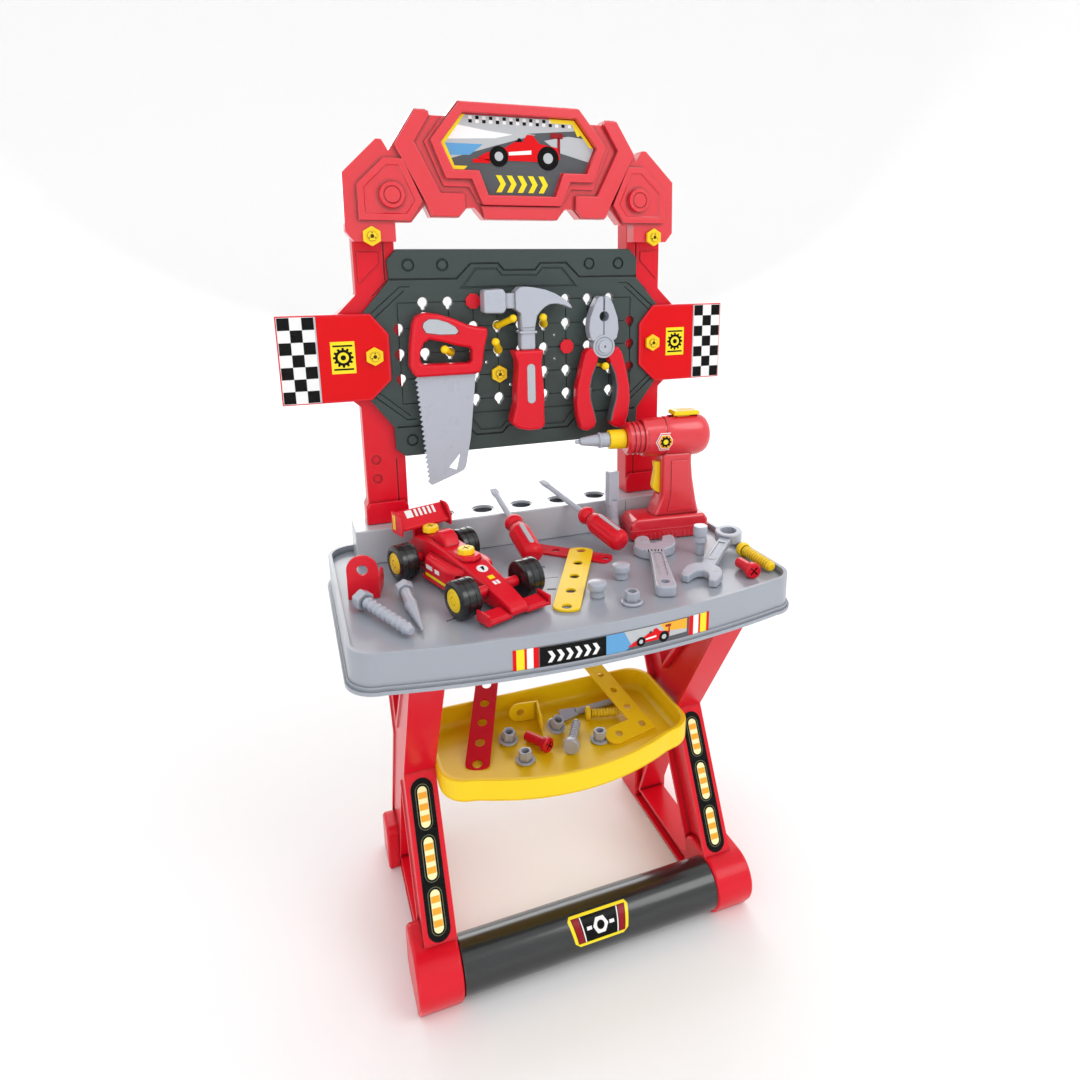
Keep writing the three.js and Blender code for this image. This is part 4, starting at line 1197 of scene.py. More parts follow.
class MakeDrill(bpy.types.Operator):
    """Toy drill with a ridged collar, a ribbed base, a trigger, a slider and a turning nose"""

    bl_idname = "workbench.drill"
    bl_label = "Drill"

    def execute(self, _context):
        def barrel(profile, steps=64):
            return turned(profile, (0, 0, DRILL_AXIS), (1, 0, DRILL_AXIS), steps)

        case = barrel([(0, -48), (23.5, -48), (25, -46.5), (25.6, -30), (26.4, -19.6),
                       (25.4, -19), (25.4, -17.6), (26.6, -17), (28, -8), (28, 22), (27.2, 30),
                       (25.2, 36.5), (21.5, 41.6), (16, 45), (9, 46.7), (0, 47)])
        bmesh.ops.scale(case, vec=(1, DRILL_FLAT, 1), verts=case.verts)
        collar = [(0, -70), (18.6, -70), (20.4, -68.6)]
        for k in range(3):
            x = -67 + k * 6.4
            collar += [(21.6, x), (21.6, x + 3.6), (20.2, x + 4.2), (20.2, x + 5.8)]
        collar += [(22.3, -47.4), (22.3, -45), (0, -45)]
        handle = plate([(-22, 556), (20, 556), (20, 540), (22, 520), (28, 488), (33, 468),
                        (-35, 468), (-27, 486), (-22, 500)], -15, 15, soft=5.5, steps=5)
        panel = plate([(-10, 546), (14, 546), (15, 520), (21, 490), (24, 476), (-14, 476),
                       (-10, 500)], -16.4, -8, soft=1.2)
        base = plate([(-66, 440.3), (40, 440.3), (42, 446), (42, 463), (37, 471), (-60, 471),
                      (-68, 463), (-68, 446)], -23, 23, soft=4.0, steps=4)
        ribs = [rod((x, s * 21.2, 441.2), (x, s * 21.2, 450.5), 2.3, sides=20, soft=0.7)
                for s in (-1, 1) for x in range(-58, 38, 6)]
        lip = plate([(-68.2, 454), (42.2, 454), (42.2, 456), (-68.2, 456)], -23.2, 23.2, soft=0.6)
        body = fuse(case, add=[barrel(collar), handle, panel, base, lip])
        body = fuse(body, add=[gather(*ribs)], cut=[
            rod((-80, 0, DRILL_AXIS), (-45, 0, DRILL_AXIS), 8.3, sides=32),
            block(-24.5, -8, -5.3, 5.3, 497, 543.3), block(-12, 29, -7.3, 7.3, 598, 612),
        ])
        piece("drill_case", body, "red_bright", "drill", ["drill_body"], at=DRILL_PLACE)
        band = fuse(rod((-92, 0, DRILL_AXIS), (-70.3, 0, DRILL_AXIS), 12.5, sides=48, soft=1.0),
                    add=[rod((-72, 0, DRILL_AXIS), (-47, 0, DRILL_AXIS), 8, sides=32)])
        piece("drill_band", band, "yellow", "drill_spindle", ["drill_chuck"], at=DRILL_PLACE)
        nose = turned([(0, 0), (9.5, 0), (9.5, 10), (10.2, 10.6), (10.2, 12.8), (9.4, 13.4),
                       (8.2, 14), (7.6, 18), (5.0, 36), (4.2, 38), (0, 38)],
                      (-92.3, 0, DRILL_AXIS), (-200, 0, DRILL_AXIS), 48)
        tip = rod((-129, 0, DRILL_AXIS), (-136.3, 0, DRILL_AXIS), 3, 2.6, sides=6, soft=0.4)
        flutes = []
        for k in range(3):
            a = math.tau * k / 3
            c, s = math.cos(a), math.sin(a)
            flutes.append(rod((-106, 10.4 * c, DRILL_AXIS + 10.4 * s),
                              (-131, 6.4 * c, DRILL_AXIS + 6.4 * s), 2.2, sides=16))
        piece("drill_nose_bit", fuse(nose, add=[tip], cut=[gather(*flutes)]), "tool_grey",
              "drill_spindle", ["drill_nose"], at=DRILL_PLACE)
        trigger = plate([(-24, 500), (-30, 504), (-32, 510), (-30, 522), (-28.5, 532), (-30, 543),
                         (-14, 543), (-14, 497.4)], -5, 5, soft=1.5)
        piece("drill_lever", trigger, "yellow", "drill_trigger", ["drill_trigger"],
              at=DRILL_PLACE)
        slider = fuse(plate([(-6, 604.3), (30, 604.3), (30, 607.5), (28, 610), (-4, 610),
                             (-6, 607.5)], -11, 11, soft=1.2),
                      add=[block(0, 17, -7, 7, 599, 606)],
                      cut=[gather(*[block(x, x + 1.2, -9, 9, 609.3, 612) for x in range(2, 24, 3)])])
        piece("drill_switch", slider, "yellow", "drill_slider", ["drill_slider"], at=DRILL_PLACE)

        def side_face(p):
            z = p.y - DRILL_AXIS
            around = math.sqrt(max(0.0, 1 - (z / 26.5) ** 2))
            return Vector((p.x, -DRILL_FLAT * 26.5 * around - 0.25 - p.z, p.y))

        spot = (-21, 573)
        stack = [("print_white", disc(*spot, 13.5, 6), 0), ("print_red", disc(*spot, 12.3, 6), 1),
                 ("print_white", disc(*spot, 11.0, 6), 2),
                 ("print_orange", disc(*spot, 10.0, 6), 3),
                 ("print_black", gear(*spot, 7.6, 9), 4), ("print_yellow", disc(*spot, 3.4), 5)]
        layers("drill_badge", stack, side_face, "drill", at=DRILL_PLACE, bend="y", gap=2.0,
               lift=0.16)
        return {"FINISHED"}


# ---- racing car --------------------------------------------------------------
CAR_PLACE = Matrix.Translation((-132, -66, 440.9)) @ Matrix.Rotation(math.radians(-71), 4, "Z")
WHEEL_R, WHEELBASE = 21.0, 129.0


class MakeCar(bpy.types.Operator):
    """Open-wheeled racing car with pods, wings, two yellow bolts and four turning wheels"""

    bl_idname = "workbench.car"
    bl_label = "Racing car"

    def execute(self, _context):
        spine = plate([(-30, 9), (-30, 34), (-16, 42), (14, 45), (52, 43), (66, 41), (92, 37),
                       (128, 28), (160, 19.5), (170, 16), (174.5, 11), (173, 5), (150, 4.5), (120, 6)],
                      -14, 14, soft=3.6, steps=4)
        slice_up(spine, "x", -20, 170, 10)

        def taper(p):
            width = 1.16 if p.x < 84 else 1.16 - 0.42 * min(1.0, (p.x - 84) / 80)
            return Vector((p.x, p.y * width * (1.08 - 0.10 * max(0, p.z - 20) / 20), p.z))

        bent(spine, taper)
        pods = plate([(14, -14), (22, -25), (30, -29), (74, -30), (86, -27), (96, -14), (96, 14),
                      (86, 27), (74, 30), (30, 29), (22, 25), (14, 14)], 8, 33, "z", soft=6.5,
                     steps=5)
        floor = plate([(-8, -18), (14, -20), (24, -30), (82, -30), (98, -16), (98, 16), (82, 30),
                       (24, 30), (14, 20), (-8, 18)], 5.5, 10, "z", soft=1.2)
        hump = plate([(-22, 36), (-14, 42), (12, 49), (22, 57), (31, 58), (40, 53), (45, 44),
                      (45, 36)], -9.5, 9.5, soft=4.2, steps=4)
        collar = plate([(40, -13), (86, -12), (92, 0), (86, 12), (40, 13), (34, 0)], 36, 43.5, "z",
                       soft=3.0)
        wing = [
            plate([(150, s * 9), (153, s * 40), (174, s * 40), (173, s * 9)][::s], 4, 8.5, "z",
                  soft=1.4)
            for s in (-1, 1)
        ]
        wing += [plate([(151, 7), (155, 12.5), (171, 9.5), (172, 6)], *sorted((s * 11, s * 37.5)),
                       soft=1.2) for s in (-1, 1)]
        wing += [block(152, 174.5, *sorted((s * 37, s * 40.3)), 4, 16, soft=1.2) for s in (-1, 1)]
        axles = [rod((x, -27.5, WHEEL_R), (x, 27.5, WHEEL_R), 6, sides=28, soft=0.8)
                 for x in (0, WHEELBASE)]
        body = fuse(spine, add=[pods, floor, hump, collar, *wing, *axles])
        bores = [rod((x, s * 40, WHEEL_R), (x, s * 14, WHEEL_R), 3.3, sides=20)
                 for x in (0, WHEELBASE) for s in (-1, 1)]
        inlets = [block(80, 100, *sorted((s * 15.5, s * 25)), 15, 27, soft=2.0) for s in (-1, 1)]
        wells = [rod((x, 0, 38), (x, 0, 62), 4.3, sides=24) for x in (-6, 72)]
        body = fuse(body, cut=[gather(*bores, *wells), gather(*inlets)])
        piece("car_shell", body, "red", "car", ["car_body"], at=CAR_PLACE)
        flap = plate([(-37, 50), (-37, 69), (-34.5, 70), (-22, 58), (-16, 53.5), (-16, 50)],
                     -32.5, 32.5, soft=0.9)
        fins = [plate([(-38, 45), (-14, 45), (-14, 56), (-20, 68), (-26, 71.5), (-38, 71.5)],
                      *sorted((s * 31.5, s * 34.4)), soft=0.9) for s in (-1, 1)]
        post = block(-36, -30.3, -9, 9, 24, 52, soft=1.4)
        piece("car_tail", fuse(flap, add=[*fins, post]), "red", "car", ["car_wing"], at=CAR_PLACE)
        piece("car_tail_box", block(-29.5, -22, -21, 21, 12, 22, soft=2.0), "tyre", "car",
              at=CAR_PLACE)
        for label, x, s in (("front_left", WHEELBASE, 1), ("front_right", WHEELBASE, -1),
                            ("rear_left", 0, 1), ("rear_right", 0, -1)):
            line = ((x, s * 29, WHEEL_R), (x, s * 99, WHEEL_R))
            tyre = turned([(0, -14), (3, -14), (3, 0), (16, 0), (18.6, 0.5), (20.4, 1.6), (21, 3.4),
                           (21, 7.2), (20.4, 7.5), (20.4, 8.4), (21, 8.7), (21, 15.3),
                           (20.4, 15.6), (20.4, 16.5), (21, 16.8), (21, 20.6), (20.4, 22.4),
                           (18.6, 23.5), (16, 24), (14, 24), (13.2, 23.2), (13, 18.6), (0, 18.6)],
                          *line, 64)
            body_name = f"car_wheel_{label}"
            piece(f"car_tyre_{label}", tyre, "tyre", body_name, [body_name], at=CAR_PLACE)
            hub = turned([(0, 18), (12.8, 18), (12.8, 22.6), (12.0, 23.7), (10.4, 24.0),
                          (9.9, 23.4), (9.4, 23.8), (5.0, 24.1), (4.6, 23.3), (4.0, 24.0),
                          (0, 24.2)], *line, 48)
            piece(f"car_hub_{label}", hub, "yellow", body_name, at=CAR_PLACE)
        for label, x, z in (("rear", -6, 45.9), ("front", 72, 41.1)):
            cap = soften(rod((x, 0, z + 1), (x, 0, z + 8), 10.4, 9.6, sides=8), 1.2, 3, limit=40)
            cross = [block(x - 5, x + 5, -0.9, 0.9, z + 6.8, z + 10),
                     block(x - 0.9, x + 0.9, -5, 5, z + 6.8, z + 10)]
            piece(f"car_stud_{label}", fuse(cap, add=[rod((x, 0, z - 4), (x, 0, z + 2), 4,
                                                          sides=24)], cut=cross),
                  "yellow", "car", [f"car_bolt_{label}"], at=CAR_PLACE)

        def nose_top(p):
            return Vector((p.x, p.y, 37.328 - (p.x - 92) * 0.258 + p.z))

        stack = [("print_white", disc(104, 0, 6.4), 0),
                 ("print_black", [(101, -1), (107.5, -1), (107.5, 0.6), (101, 3.4), (101, 1.4)], 1),
                 ("print_yellow", rect(118, 124, -3.5, 3.5), 0),
                 ("print_white", rect(128, 134, -3.8, -0.6), 0),
                 ("print_white", rect(128, 134, 0.6, 3.8), 0)]
        layers("car_nose_print", stack, nose_top, "car", at=CAR_PLACE, bend="x", gap=4.0, lift=0.2)

        def flap_front(p):
            t = (p.x + 34) / 12.0
            return Vector((-34.2 + 12.2 * t, p.y, 70.45 - 12 * t + p.z))

        stack = [("print_white", rect(-32.5, -25.5, v, v + w), 0)
                 for v, w in ((-20, 9), (-8, 3.2), (-2, 3.2), (4, 3.2), (10, 3.2), (16, 3.2))]
        layers("car_flap_print", stack, flap_front, "car", at=CAR_PLACE)
        for side, s in (("near", -1), ("far", 1)):
            stack = [("print_yellow", rect(-34, -28, 50, 68), 0),
                     ("print_orange", rect(-32, -30, 50, 68), 1)]
            layers(f"car_fin_print_{side}", stack,
                   lambda p, s=s: Vector((p.x, s * (34.45 + p.z), p.y)), "car", at=CAR_PLACE)
            stack = [("print_yellow", rect(30, 76, 11.2, 14.6), 0),
                     ("print_white", rect(32, 46, 20, 25), 0),
                     ("print_white", rect(52, 62, 20, 25), 0)]
            layers(f"car_pod_print_{side}", stack,
                   lambda p, s=s: Vector((p.x, s * (29.0 + (p.x - 30) / 44.0 + 0.15 + p.z), p.y)),
                   "car", at=CAR_PLACE)
        return {"FINISHED"}


# ---- screwdrivers, wrenches and loose parts ----------------------------------
DRIVERS = {
    "small": ((-22, -116, 458), (-35, 20, 505)),
    "large": ((94, -116, 458), (35, 26, 507)),
}


class MakeScrewdrivers(bpy.types.Operator):
    """Two screwdrivers with fluted grips, grey insets and flat tips"""

    bl_idname = "workbench.screwdrivers"
    bl_label = "Screwdrivers"

    def execute(self, _context):
        for label, (butt, tip) in DRIVERS.items():
            length = (Vector(tip) - Vector(butt)).length
            place = aim(butt, tip)
            grip = turned([(0, 0), (6, 0), (10, 1.2), (12.6, 4), (13.8, 8), (14, 14), (13.9, 22),
                           (13.9, 30), (13.9, 38), (14, 46), (13.2, 51), (11, 55.5), (9.9, 59),
                           (9.8, 62), (11, 65), (12, 67.5), (11.8, 70.5), (9.6, 75), (8.6, 76),
                           (0, 76)], steps=72)

            def fluted(p):
                if not 8 < p.z < 50:
                    return p
                turn = math.atan2(p.y, p.x) - math.pi / 2
                depth = 0.075 * min(1.0, (p.z - 8) / 6, (50 - p.z) / 6)
                k = 1 - depth * (0.5 - 0.5 * math.cos(8 * turn)) * (abs(turn) > 0.38)
                return Vector((p.x * k, p.y * k, p.z))

            bent(grip, fluted)
            groove = fuse(rod((0, 0, 59.4), (0, 0, 60.8), 14, sides=48),
                          cut=[rod((0, 0, 58), (0, 0, 62), 9.0, sides=48)])
            slot = plate(slot_outline(0, 14, 0, 46, 3.1, 8), 12.9, 16, "y")
            grip = moved(fuse(grip, cut=[groove, slot]), place)
            piece(f"driver_{label}_grip", grip, "red", f"screwdriver_{label}",
                  [f"screwdriver_{label}_grip"])
            inset = plate(slot_outline(0, 14, 0, 46, 2.8, 8), 12.4, 14.35, "y", soft=0.5)
            piece(f"driver_{label}_inset", moved(inset, place), "pale", f"screwdriver_{label}")
            shaft = rod((0, 0, 76.3), (0, 0, length - 14), 3.6, sides=28)
            blade = plate([(-3.4, length - 16), (3.4, length - 16), (5, length - 8),
                           (4.2, length), (-4.2, length), (-5, length - 8)], -2.6, 2.6, "y",
                          soft=0.5)

            def thin(p):
                t = max(0.0, (p.z - (length - 16)) / 16)
                return Vector((p.x, p.y * (1 - 0.6 * t), p.z))

            piece(f"driver_{label}_shaft", moved(fuse(shaft, add=[bent(blade, thin)]), place),
                  "tool_grey", f"screwdriver_{label}", [f"screwdriver_{label}_shaft"])
        return {"FINISHED"}


def laid(x, y, z, turn, tilt=0.0):
    return (Matrix.Translation((x, y, z)) @ Matrix.Rotation(math.radians(turn), 4, "Z")
            @ Matrix.Rotation(math.radians(-tilt), 4, "Y"))


ON_TABLE = TABLE_FLOOR + 0.3


class MakeWrenches(bpy.types.Operator):
    """Adjustable wrench with a sliding jaw, and a spanner with a jaw and a deep ring"""

    bl_idname = "workbench.wrenches"
    bl_label = "Wrenches"

    def execute(self, _context):
        place = laid(90, -240, ON_TABLE, 69)
        handle = [(0, -7), (3, -10.5), (8, -12), (60, -10), (108, -9), (116, -14), (122, -22),
                  (134, -27), (148, -29), (158, -27), (163, -24), (158, -12), (140, -9), (134, 2),
                  (134, 25), (124, 28), (112, 20), (106, 9), (60, 10), (8, 12), (3, 10.5), (0, 7)]
        body = plate(handle, 0, 13, "z", soft=2.4, steps=4)
        panel = plate(slot_outline(34, 0, 96, 0, 5.4, 8), 12.1, 16, "z")
        worm = gather(*[block(103 + k * 0.2, 110, -11 + k * 4.1, -9.4 + k * 4.1, 10.6, 15)
                        for k in range(7)])
        body = fuse(body, cut=[rod((15, 0, -5), (15, 0, 20), 5, sides=32), panel, worm])
        piece("wrench_frame", body, "tool_grey", "wrench", ["wrench_body"], at=place)
        jaw = plate([(137, 4.4), (156, 5.4), (161.5, 11), (160, 17), (155, 22), (146, 25),
                     (137, 25)], 1, 12, "z", soft=1.8, steps=4)
        piece("wrench_slide", jaw, "tool_grey", "wrench_jaw", ["wrench_jaw"], at=place)
        place = laid(150, -214, ON_TABLE + 1.4, 43, 4.6)
        jaws = [(22, -10), (17, -17), (10, -21.5), (0, -23), (-13, -21.5), (-16, -19), (-16, -12),
                (-6, -9.6), (1, -6), (4, 0), (1, 6), (-6, 9.6), (-16, 12), (-16, 19), (-13, 21.5),
                (0, 23), (10, 21.5), (17, 17), (22, 10)]
        ring = turned([(0, 0), (16.2, 0), (17, 1), (17, 12), (16, 13), (0, 13)], (114, 0, 0),
                      (114, 0, 20), 48)
        tool = fuse(plate(jaws, 0, 10, "z", soft=1.8, steps=4),
                    add=[plate([(16, -8.5), (100, -7.2), (100, 7.2), (16, 8.5)], 0.8, 9.4, "z",
                               soft=1.5), ring],
                    cut=[rod((114, 0, -5), (114, 0, 20), 10.4, sides=48),
                         plate(slot_outline(38, 0, 86, 0, 4.2, 8), 8.7, 14, "z")])
        tool = fuse(tool, add=[plate(rect(34, 40, -5, 5), 6, 9.9, "z", soft=0.4),
                               plate(rect(84, 90, -5, 5), 6, 9.9, "z", soft=0.4)])
        piece("spanner_tool", tool, "tool_grey", "spanner", ["spanner"], at=place)
        return {"FINISHED"}


def strip_shape(count, pitch, width, thick, hole=5.0):
    r = width / 2
    outline = []
    for cx, start in ((0.0, 90.0), ((count - 1) * pitch, 270.0)):
        for u, v in arc(0, 0, 1, start, start + 180, 12):
            outline.append((cx + r * 0.6 * u, r * v))
    shape = plate(outline, 0, thick, "z")
    holes = [rod((k * pitch, 0, -5), (k * pitch, 0, 10), hole, sides=36) for k in range(count)]
    return soften(fuse(shape, cut=[gather(*holes)]), 0.6, 2, limit=60)


def threaded(start, end, radius, turns=None):
    """A shank with a rounded thread along it."""
    length = (Vector(end) - Vector(start)).length
    turns = turns or sizes().thread_turns
    step = length / (turns + 0.5)
    profile = [(0, 0), (radius * 0.8, 0)]
    for k in range(turns):
        for h, reach in ((0.10, 0.80), (0.38, 1.0), (0.56, 1.0), (0.84, 0.80)):
            profile.append((radius * reach, step * (k + h + 0.1)))
    profile += [(radius * 0.8, length - step * 0.25), (radius * 0.55, length), (0, length)]
    return turned(profile, start, end, 32)


def towards(start, end, distance):
    a, b = Vector(start), Vector(end)
    return tuple(a + (b - a).normalized() * distance)


def crossed_screw(start, end, head, shank, steps):
    """A plain shank under a round head with a cross cut in it."""
    knob = turned(head, start, end, steps)
    place = aim(start, end)
    cuts = [moved(block(-6, 6, -1.1, 1.1, -2, 2.4), place @ Matrix.Rotation(a, 4, "Z"))
            for a in (math.pi / 4, -math.pi / 4)]
    return gather(fuse(knob, cut=cuts),
                  rod(towards(start, end, 7.9), end, shank, sides=32, soft=0.7))


def flanged_nut(x, y, z, lean=(0.0, 0.0), r=12.0, height=14.0):
    """A nut whose hexagonal top stands on a round flange."""
    top = (x + lean[0] * height, y + lean[1] * height, z + height)
    neck = towards((x, y, z), top, 3.0)
    base = turned([(0, 0), (r - 0.8, 0), (r, 0.8), (r, 2.2), (r - 1.4, 3.2), (0, 3.6)],
                  (x, y, z), top, 48)
    six = soften(rod(neck, top, r * 0.74, r * 0.7, sides=6), 0.7, 2, limit=40)
    bore = rod(towards((x, y, z), top, -4), towards((x, y, z), top, 24), r * 0.42, sides=36)
    return fuse(base, add=[six], cut=[bore])


class MakeWorktopParts(bpy.types.Operator):
    """Loose strips, bracket, socket piece, bolts, pegs and nut on the worktop"""

    bl_idname = "workbench.worktop_parts"
    bl_label = "Loose parts on the worktop"

    def execute(self, _context):
        piece("perforated_red", strip_shape(4, 34, 26, 3), "red", nodes=["strip_red"],
              at=laid(-4, -46, ON_TABLE, -43.5))
        piece("perforated_yellow", strip_shape(5, 37, 30, 3, 5.6), "yellow",
              nodes=["strip_yellow"], at=laid(-22, -224, ON_TABLE + 0.2, 62.5, 1.8))
        wall = [(-17, 0), (17, 0), (17, 34)] + arc(0, 34, 17, 5, 175, 16) + [(-17, 34)]
        bracket = fuse(plate(wall, 0, 3, soft=0.6), add=[
            plate([(0, 0), (36, 0), (42, 6), (42, 17), (36, 22), (0, 22)], 14, 17, "x", soft=0.6),
        ], cut=[rod((0, -5, 34), (0, 8, 34), 6, sides=36),
                rod((10, 30, 11), (22, 30, 11), 5, sides=36)])
        piece("corner_bracket", bracket, "red_soft", nodes=["bracket_red"],
              at=laid(-221, -118, ON_TABLE, -14))
        socket = turned([(0, 0), (12.2, 0), (13, 0.8), (13, 4), (11.6, 8), (8.4, 24), (7.5, 28),
                         (7.5, 49), (7, 50), (0, 50)], steps=44)
        blade = plate([(-8, 44), (8, 44), (8, 88.5), (7, 90), (-7, 90), (-8, 88.5)], -5, 5,
                      soft=1.0)
        piece("socket_upright", fuse(socket, add=[blade]), "tool_grey", nodes=["socket_piece"],
              at=laid(112, -40, ON_TABLE, 10))
        start, end = (-227, -140, 452.4), (-187, -228, 448)
        neck = towards(start, end, 12)
        head = soften(rod(start, neck, 11, sides=6), 1.2, 3, limit=40)
        piece("long_bolt_grey", gather(head, threaded(towards(start, end, 11.5), end, 6.5)),
              "tool_grey", nodes=["bolt_grey"])
        start, end = (-179, -128, 452), (-175, -222, 444)
        neck = towards(start, end, 11)
        head = soften(rod(start, neck, 10.5, 10.0, sides=6), 1.4, 3, limit=40)
        shank = turned([(0, 0), (6, 0), (6, 26), (7.2, 28), (7.2, 32), (6.2, 35), (5.4, 46),
                        (1.5, 83), (0, 84)], neck, end, 32)
        piece("spike_grey", gather(head, shank), "tool_grey", nodes=["nail_grey"])
        start, end = (234, -166, 449.5), (236, -228, 448)
        head = turned([(0, 0), (7.6, 0), (9, 1.2), (9, 6.5), (7.6, 8), (0, 8)], start, end, 40)
        piece("screw_yellow", gather(head, threaded(towards(start, end, 7.8), end, 6.5, turns=12)),
              "yellow", nodes=["bolt_yellow"])
        screw = crossed_screw((207, -234, 450), (209, -200, 448),
                              [(0, 0), (8.2, 0), (9.5, 1.2), (9.5, 7), (8.4, 8), (0, 8)], 6.5, 48)
        piece("screw_red", screw, "red", nodes=["bolt_red"])
        stand = turned([(0, 0), (5, 0), (5.5, 0.6), (5.5, 13), (5.5, 15.7), (7.6, 16.4),
                        (8.8, 17.2), (8.8, 22), (7.8, 22.8), (7.8, 25), (8.8, 25.8), (9, 30),
                        (9, 36.4), (8.2, 37.7), (0, 37.7)], (188, -142, ON_TABLE), (188, -142, 500),
                       40)
        piece("standing_screw", stand, "tool_grey", nodes=["screw_standing"])
        for label, x, y in (("near", 20, -208), ("far", 65, -173)):
            peg = turned([(0, 0), (7.2, 0), (8, 0.8), (8, 8.6), (8.4, 9), (10.4, 9.6), (11, 10.8),
                          (11, 15.2), (10.2, 17), (8.4, 18), (0, 18.4)],
                         (x, y, ON_TABLE), (x, y, 500), 48)
            piece(f"round_peg_{label}", peg, "tool_grey")
        piece("flange_nut_worktop", flanged_nut(49, -237, ON_TABLE), "tool_grey")
        return {"FINISHED"}


BIN_FLOOR = 209.8


def leaning(start, end, side):
    """The transform whose x axis runs from start to end and whose y axis is nearest to side."""
    start, end, side = Vector(start), Vector(end), Vector(side)
    x = (end - start).normalized()
    z = x.cross(side).normalized()
    y = z.cross(x)
    turn = Matrix((x, y, z)).transposed().to_4x4()
    return Matrix.Translation(start) @ turn


class MakeTrayParts(bpy.types.Operator):
    """Loose strips, bracket, bit, bolts and nuts in the lower tray"""

    bl_idname = "workbench.tray_parts"
    bl_label = "Loose parts in the lower tray"

    def execute(self, _context):
        low = BIN_FLOOR
        place = leaning((-106.5, -137, low + 3), (-70.5, -43, low + 37), (1, -0.38, 0))
        piece("bin_strip_red", strip_shape(6, 29.6, 30, 3, 6.0), "red", at=place)
        arm = [(-13, -13)] + arc(155, 0, 13, -90, 90, 12) + [(13, 13)] + arc(
            0, 44, 13, 0, 180, 12)
        angle = plate(arm, 0, 3, "z")
        holes = [rod((x, y, -5), (x, y, 8), 4.8, sides=36)
                 for x, y in ((0, 0), (31, 0), (62, 0), (93, 0), (124, 0), (155, 0), (0, 38))]
        angle = soften(fuse(angle, cut=[gather(*holes)]), 0.6, 2, limit=60)
        place = leaning((111, -141, low + 4), (85.5, -40, low + 36), (-1, -0.45, -0.05))
        piece("bin_strip_yellow", angle, "yellow", at=place)
        wall = [(0, 0), (0, 26)] + [(u - 26, v + 13) for u, v in arc(0, 0, 13, 90, 270, 14)]
        bracket = fuse(plate(wall, 0, 3, soft=0.6),
                       add=[plate([(3, 0), (3, 26), (-26, 22), (-34, 14), (-34, 0)], -3, 0, "x",
                                  soft=0.6)],
                       cut=[rod((-24, -5, 13), (-24, 8, 13), 5.4, sides=36),
                            rod((-5, -24, 11), (5, -24, 11), 4.6, sides=36)])
        piece("bin_bracket_yellow", bracket, "yellow", at=laid(-8, -74, low + 0.3, -8))
        start, end = (19, -86, low + 5), (100, -79, low + 5)
        blade = fuse(plate([(0, -8.5), (6, -8.5), (24, -5.5), (24, 5.5), (6, 8.5), (0, 8.5)],
                           -2.2, 2.2, "z", soft=0.7),
                     add=[rod((22, 0, 0), (82, 0, 0), 4.4, sides=28, soft=0.5)])
        piece("bin_bit_grey", blade, "tool_grey", at=leaning(start, end, (0, 1, 0.35)))
        start, end = (50, -97, low + 8.6), (94, -108, low + 6.8)
        head = turned([(0, 0), (7, 0), (9, 1.5), (9, 5), (7.5, 6.5), (0, 6.5)], start, end, 36)
        piece("bin_screw_yellow", gather(head, threaded(towards(start, end, 6.2), end, 5.6)),
              "yellow")
        for label, x, y, lean in (("far", -59, -106, (0.05, -0.2)), ("left", -50, -150, (0, 0)),
                                  ("middle", 5, -106, (0.1, -0.45)), ("right", 50, -146, (0, 0))):
            raise_by = 0.3 + 11.6 * math.hypot(*lean)
            piece(f"bin_nut_{label}", flanged_nut(x, y, low + raise_by, lean), "tool_grey")
        screw = crossed_screw((-18, -146, low + 10), (-36, -112, low + 7),
                              [(0, 0), (7.8, 0), (9.2, 1.2), (9.2, 7), (8, 8), (0, 8)], 6.4, 40)
        piece("bin_screw_red", screw, "red")
        start, end = (5, -161, low + 10.8), (33, -108, low + 7)
        head = turned([(0, 0), (9, 0), (10.4, 1.4), (10.4, 7.5), (9, 9), (0, 9)], start, end, 40)
        piece("bin_bolt_grey", gather(head, threaded(towards(start, end, 8.8), end, 5.8)),
              "tool_grey")
        return {"FINISHED"}


# ---- stage -------------------------------------------------------------------
LAMPS = (  # name, place, target, width, height, power
    ("key", (1.3, -1.7, 2.2), (0, 0, 0.45), 1.3, 1.3, 17.5),
    ("fill", (-1.2, -2.3, 0.7), (0, 0, 0.35), 1.8, 1.2, 7.0),
    ("back", (0.7, 3.0, 1.55), (0, 0, 0.55), 3.0, 1.2, 36.0),
)
SKY = 0.98
CAMERA_PLACE = (-0.2822, -0.8049, 0.8092)
CAMERA_TURN = (75.925, 0.225, -21.547)
LENS, SENSOR = 25.443, 36.0
SHIFT = (-0.0378, -0.0880)
FLOOR_FLAT, FLOOR_CURL, FLOOR_TOP = 2.6, 1.2, 3.6  # flat radius, curve's radius and wall's top


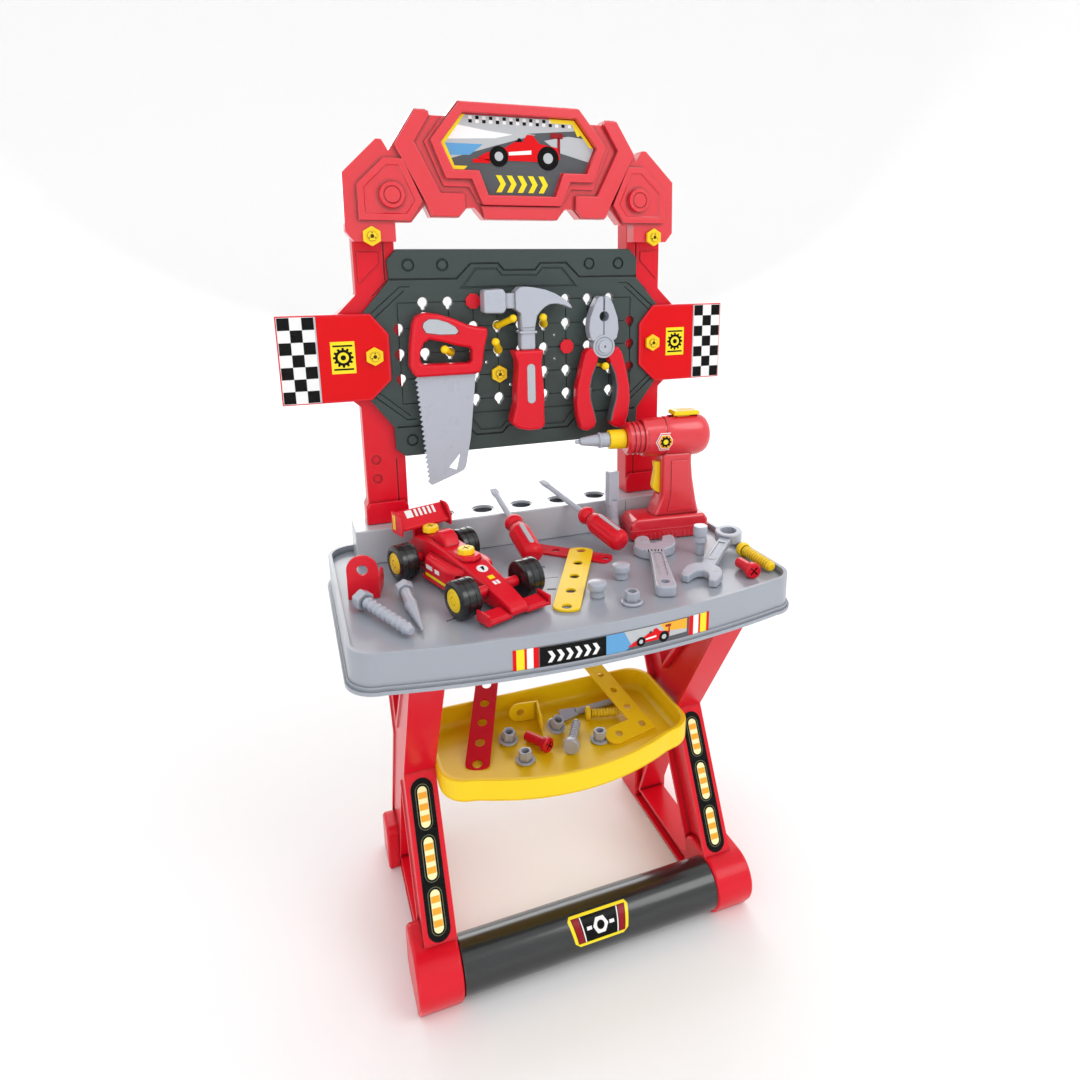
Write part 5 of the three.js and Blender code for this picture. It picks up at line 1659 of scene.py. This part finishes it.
class MakeStage(bpy.types.Operator):
    """Pale round floor that curves up, soft lamps and the camera"""

    bl_idname = "workbench.stage"
    bl_label = "Stage"

    def execute(self, context):
        scene = context.scene
        curl = arc(FLOOR_FLAT, FLOOR_CURL, FLOOR_CURL, -90, 0, 9)
        bowl = turned([(0, 0), *curl, (FLOOR_FLAT + FLOOR_CURL, FLOOR_TOP)], steps=96)
        mesh = bpy.data.meshes.new("floor")
        bowl.to_mesh(mesh)
        bowl.free()
        mesh.shade_smooth()
        paper = bpy.data.materials.new("studio_paper")
        paper.use_nodes = True
        shader = paper.node_tree.nodes["Principled BSDF"]
        shader.inputs["Roughness"].default_value = 0.7
        shader.inputs["Specular IOR Level"].default_value = 0.2
        shader.inputs["Base Color"].default_value = (0.92, 0.92, 0.92, 1.0)
        mesh.materials.append(paper)
        floor = bpy.data.objects.new("floor", mesh)
        scene.collection.objects.link(floor)

        world = bpy.data.worlds.new("studio")
        world.use_nodes = True
        world.node_tree.nodes["Background"].inputs[0].default_value = (1, 1, 1, 1)
        world.node_tree.nodes["Background"].inputs[1].default_value = SKY
        scene.world = world
        for name, place, target, width, height, power in LAMPS:
            lamp = bpy.data.lights.new(name, "AREA")
            lamp.shape, lamp.size, lamp.size_y, lamp.energy = "RECTANGLE", width, height, power
            holder = bpy.data.objects.new(name, lamp)
            holder.location = place
            holder.rotation_euler = (
                Vector(target) - Vector(place)
            ).to_track_quat("-Z", "Y").to_euler()
            holder.visible_camera = False
            scene.collection.objects.link(holder)
        lens = bpy.data.cameras.new("camera")
        lens.lens, lens.sensor_width = LENS, SENSOR
        lens.shift_x, lens.shift_y = SHIFT
        lens.clip_start, lens.clip_end = 0.05, 30.0
        holder = bpy.data.objects.new("camera", lens)
        holder.location = CAMERA_PLACE
        holder.rotation_euler = [math.radians(turn) for turn in CAMERA_TURN]
        scene.collection.objects.link(holder)
        scene.camera = holder
        scene.view_settings.view_transform = "Standard"
        return {"FINISHED"}


STEPS = (
    MakeStage, MakeSideFrames, MakeTube, MakeWorktop, MakeShelf, MakeLowerTray, MakePosts,
    MakeHeadboard, MakePegboard, MakeFlags, MakeBoardFasteners, MakeSaw, MakeHammer, MakePliers,
    MakeDrill, MakeCar, MakeScrewdrivers, MakeWrenches, MakeWorktopParts, MakeTrayParts,
)


class WorkbenchPanel(bpy.types.Panel):
    """Lists the workbench's settings and the pieces that can be made"""

    bl_idname = "VIEW3D_PT_workbench"
    bl_label = "Toy workbench"
    bl_space_type = "VIEW_3D"
    bl_region_type = "UI"
    bl_category = "Workbench"

    def draw(self, context):
        layout = self.layout
        for group in (context.scene.workbench_colours, context.scene.workbench_sizes):
            for setting in group.__annotations__:
                layout.prop(group, setting)
        for step in STEPS:
            layout.operator(step.bl_idname)


CLASSES = (WorkbenchColours, WorkbenchSizes, *STEPS, WorkbenchPanel)


def register():
    for cls in CLASSES:
        bpy.utils.register_class(cls)
    bpy.types.Scene.workbench_colours = PointerProperty(type=WorkbenchColours)
    bpy.types.Scene.workbench_sizes = PointerProperty(type=WorkbenchSizes)


def unregister():
    del bpy.types.Scene.workbench_sizes
    del bpy.types.Scene.workbench_colours
    for cls in reversed(CLASSES):
        bpy.utils.unregister_class(cls)


def main():
    register()
    for step in STEPS:
        getattr(bpy.ops.workbench, step.bl_idname.split(".")[1])()


if __name__ == "__main__":
    main()
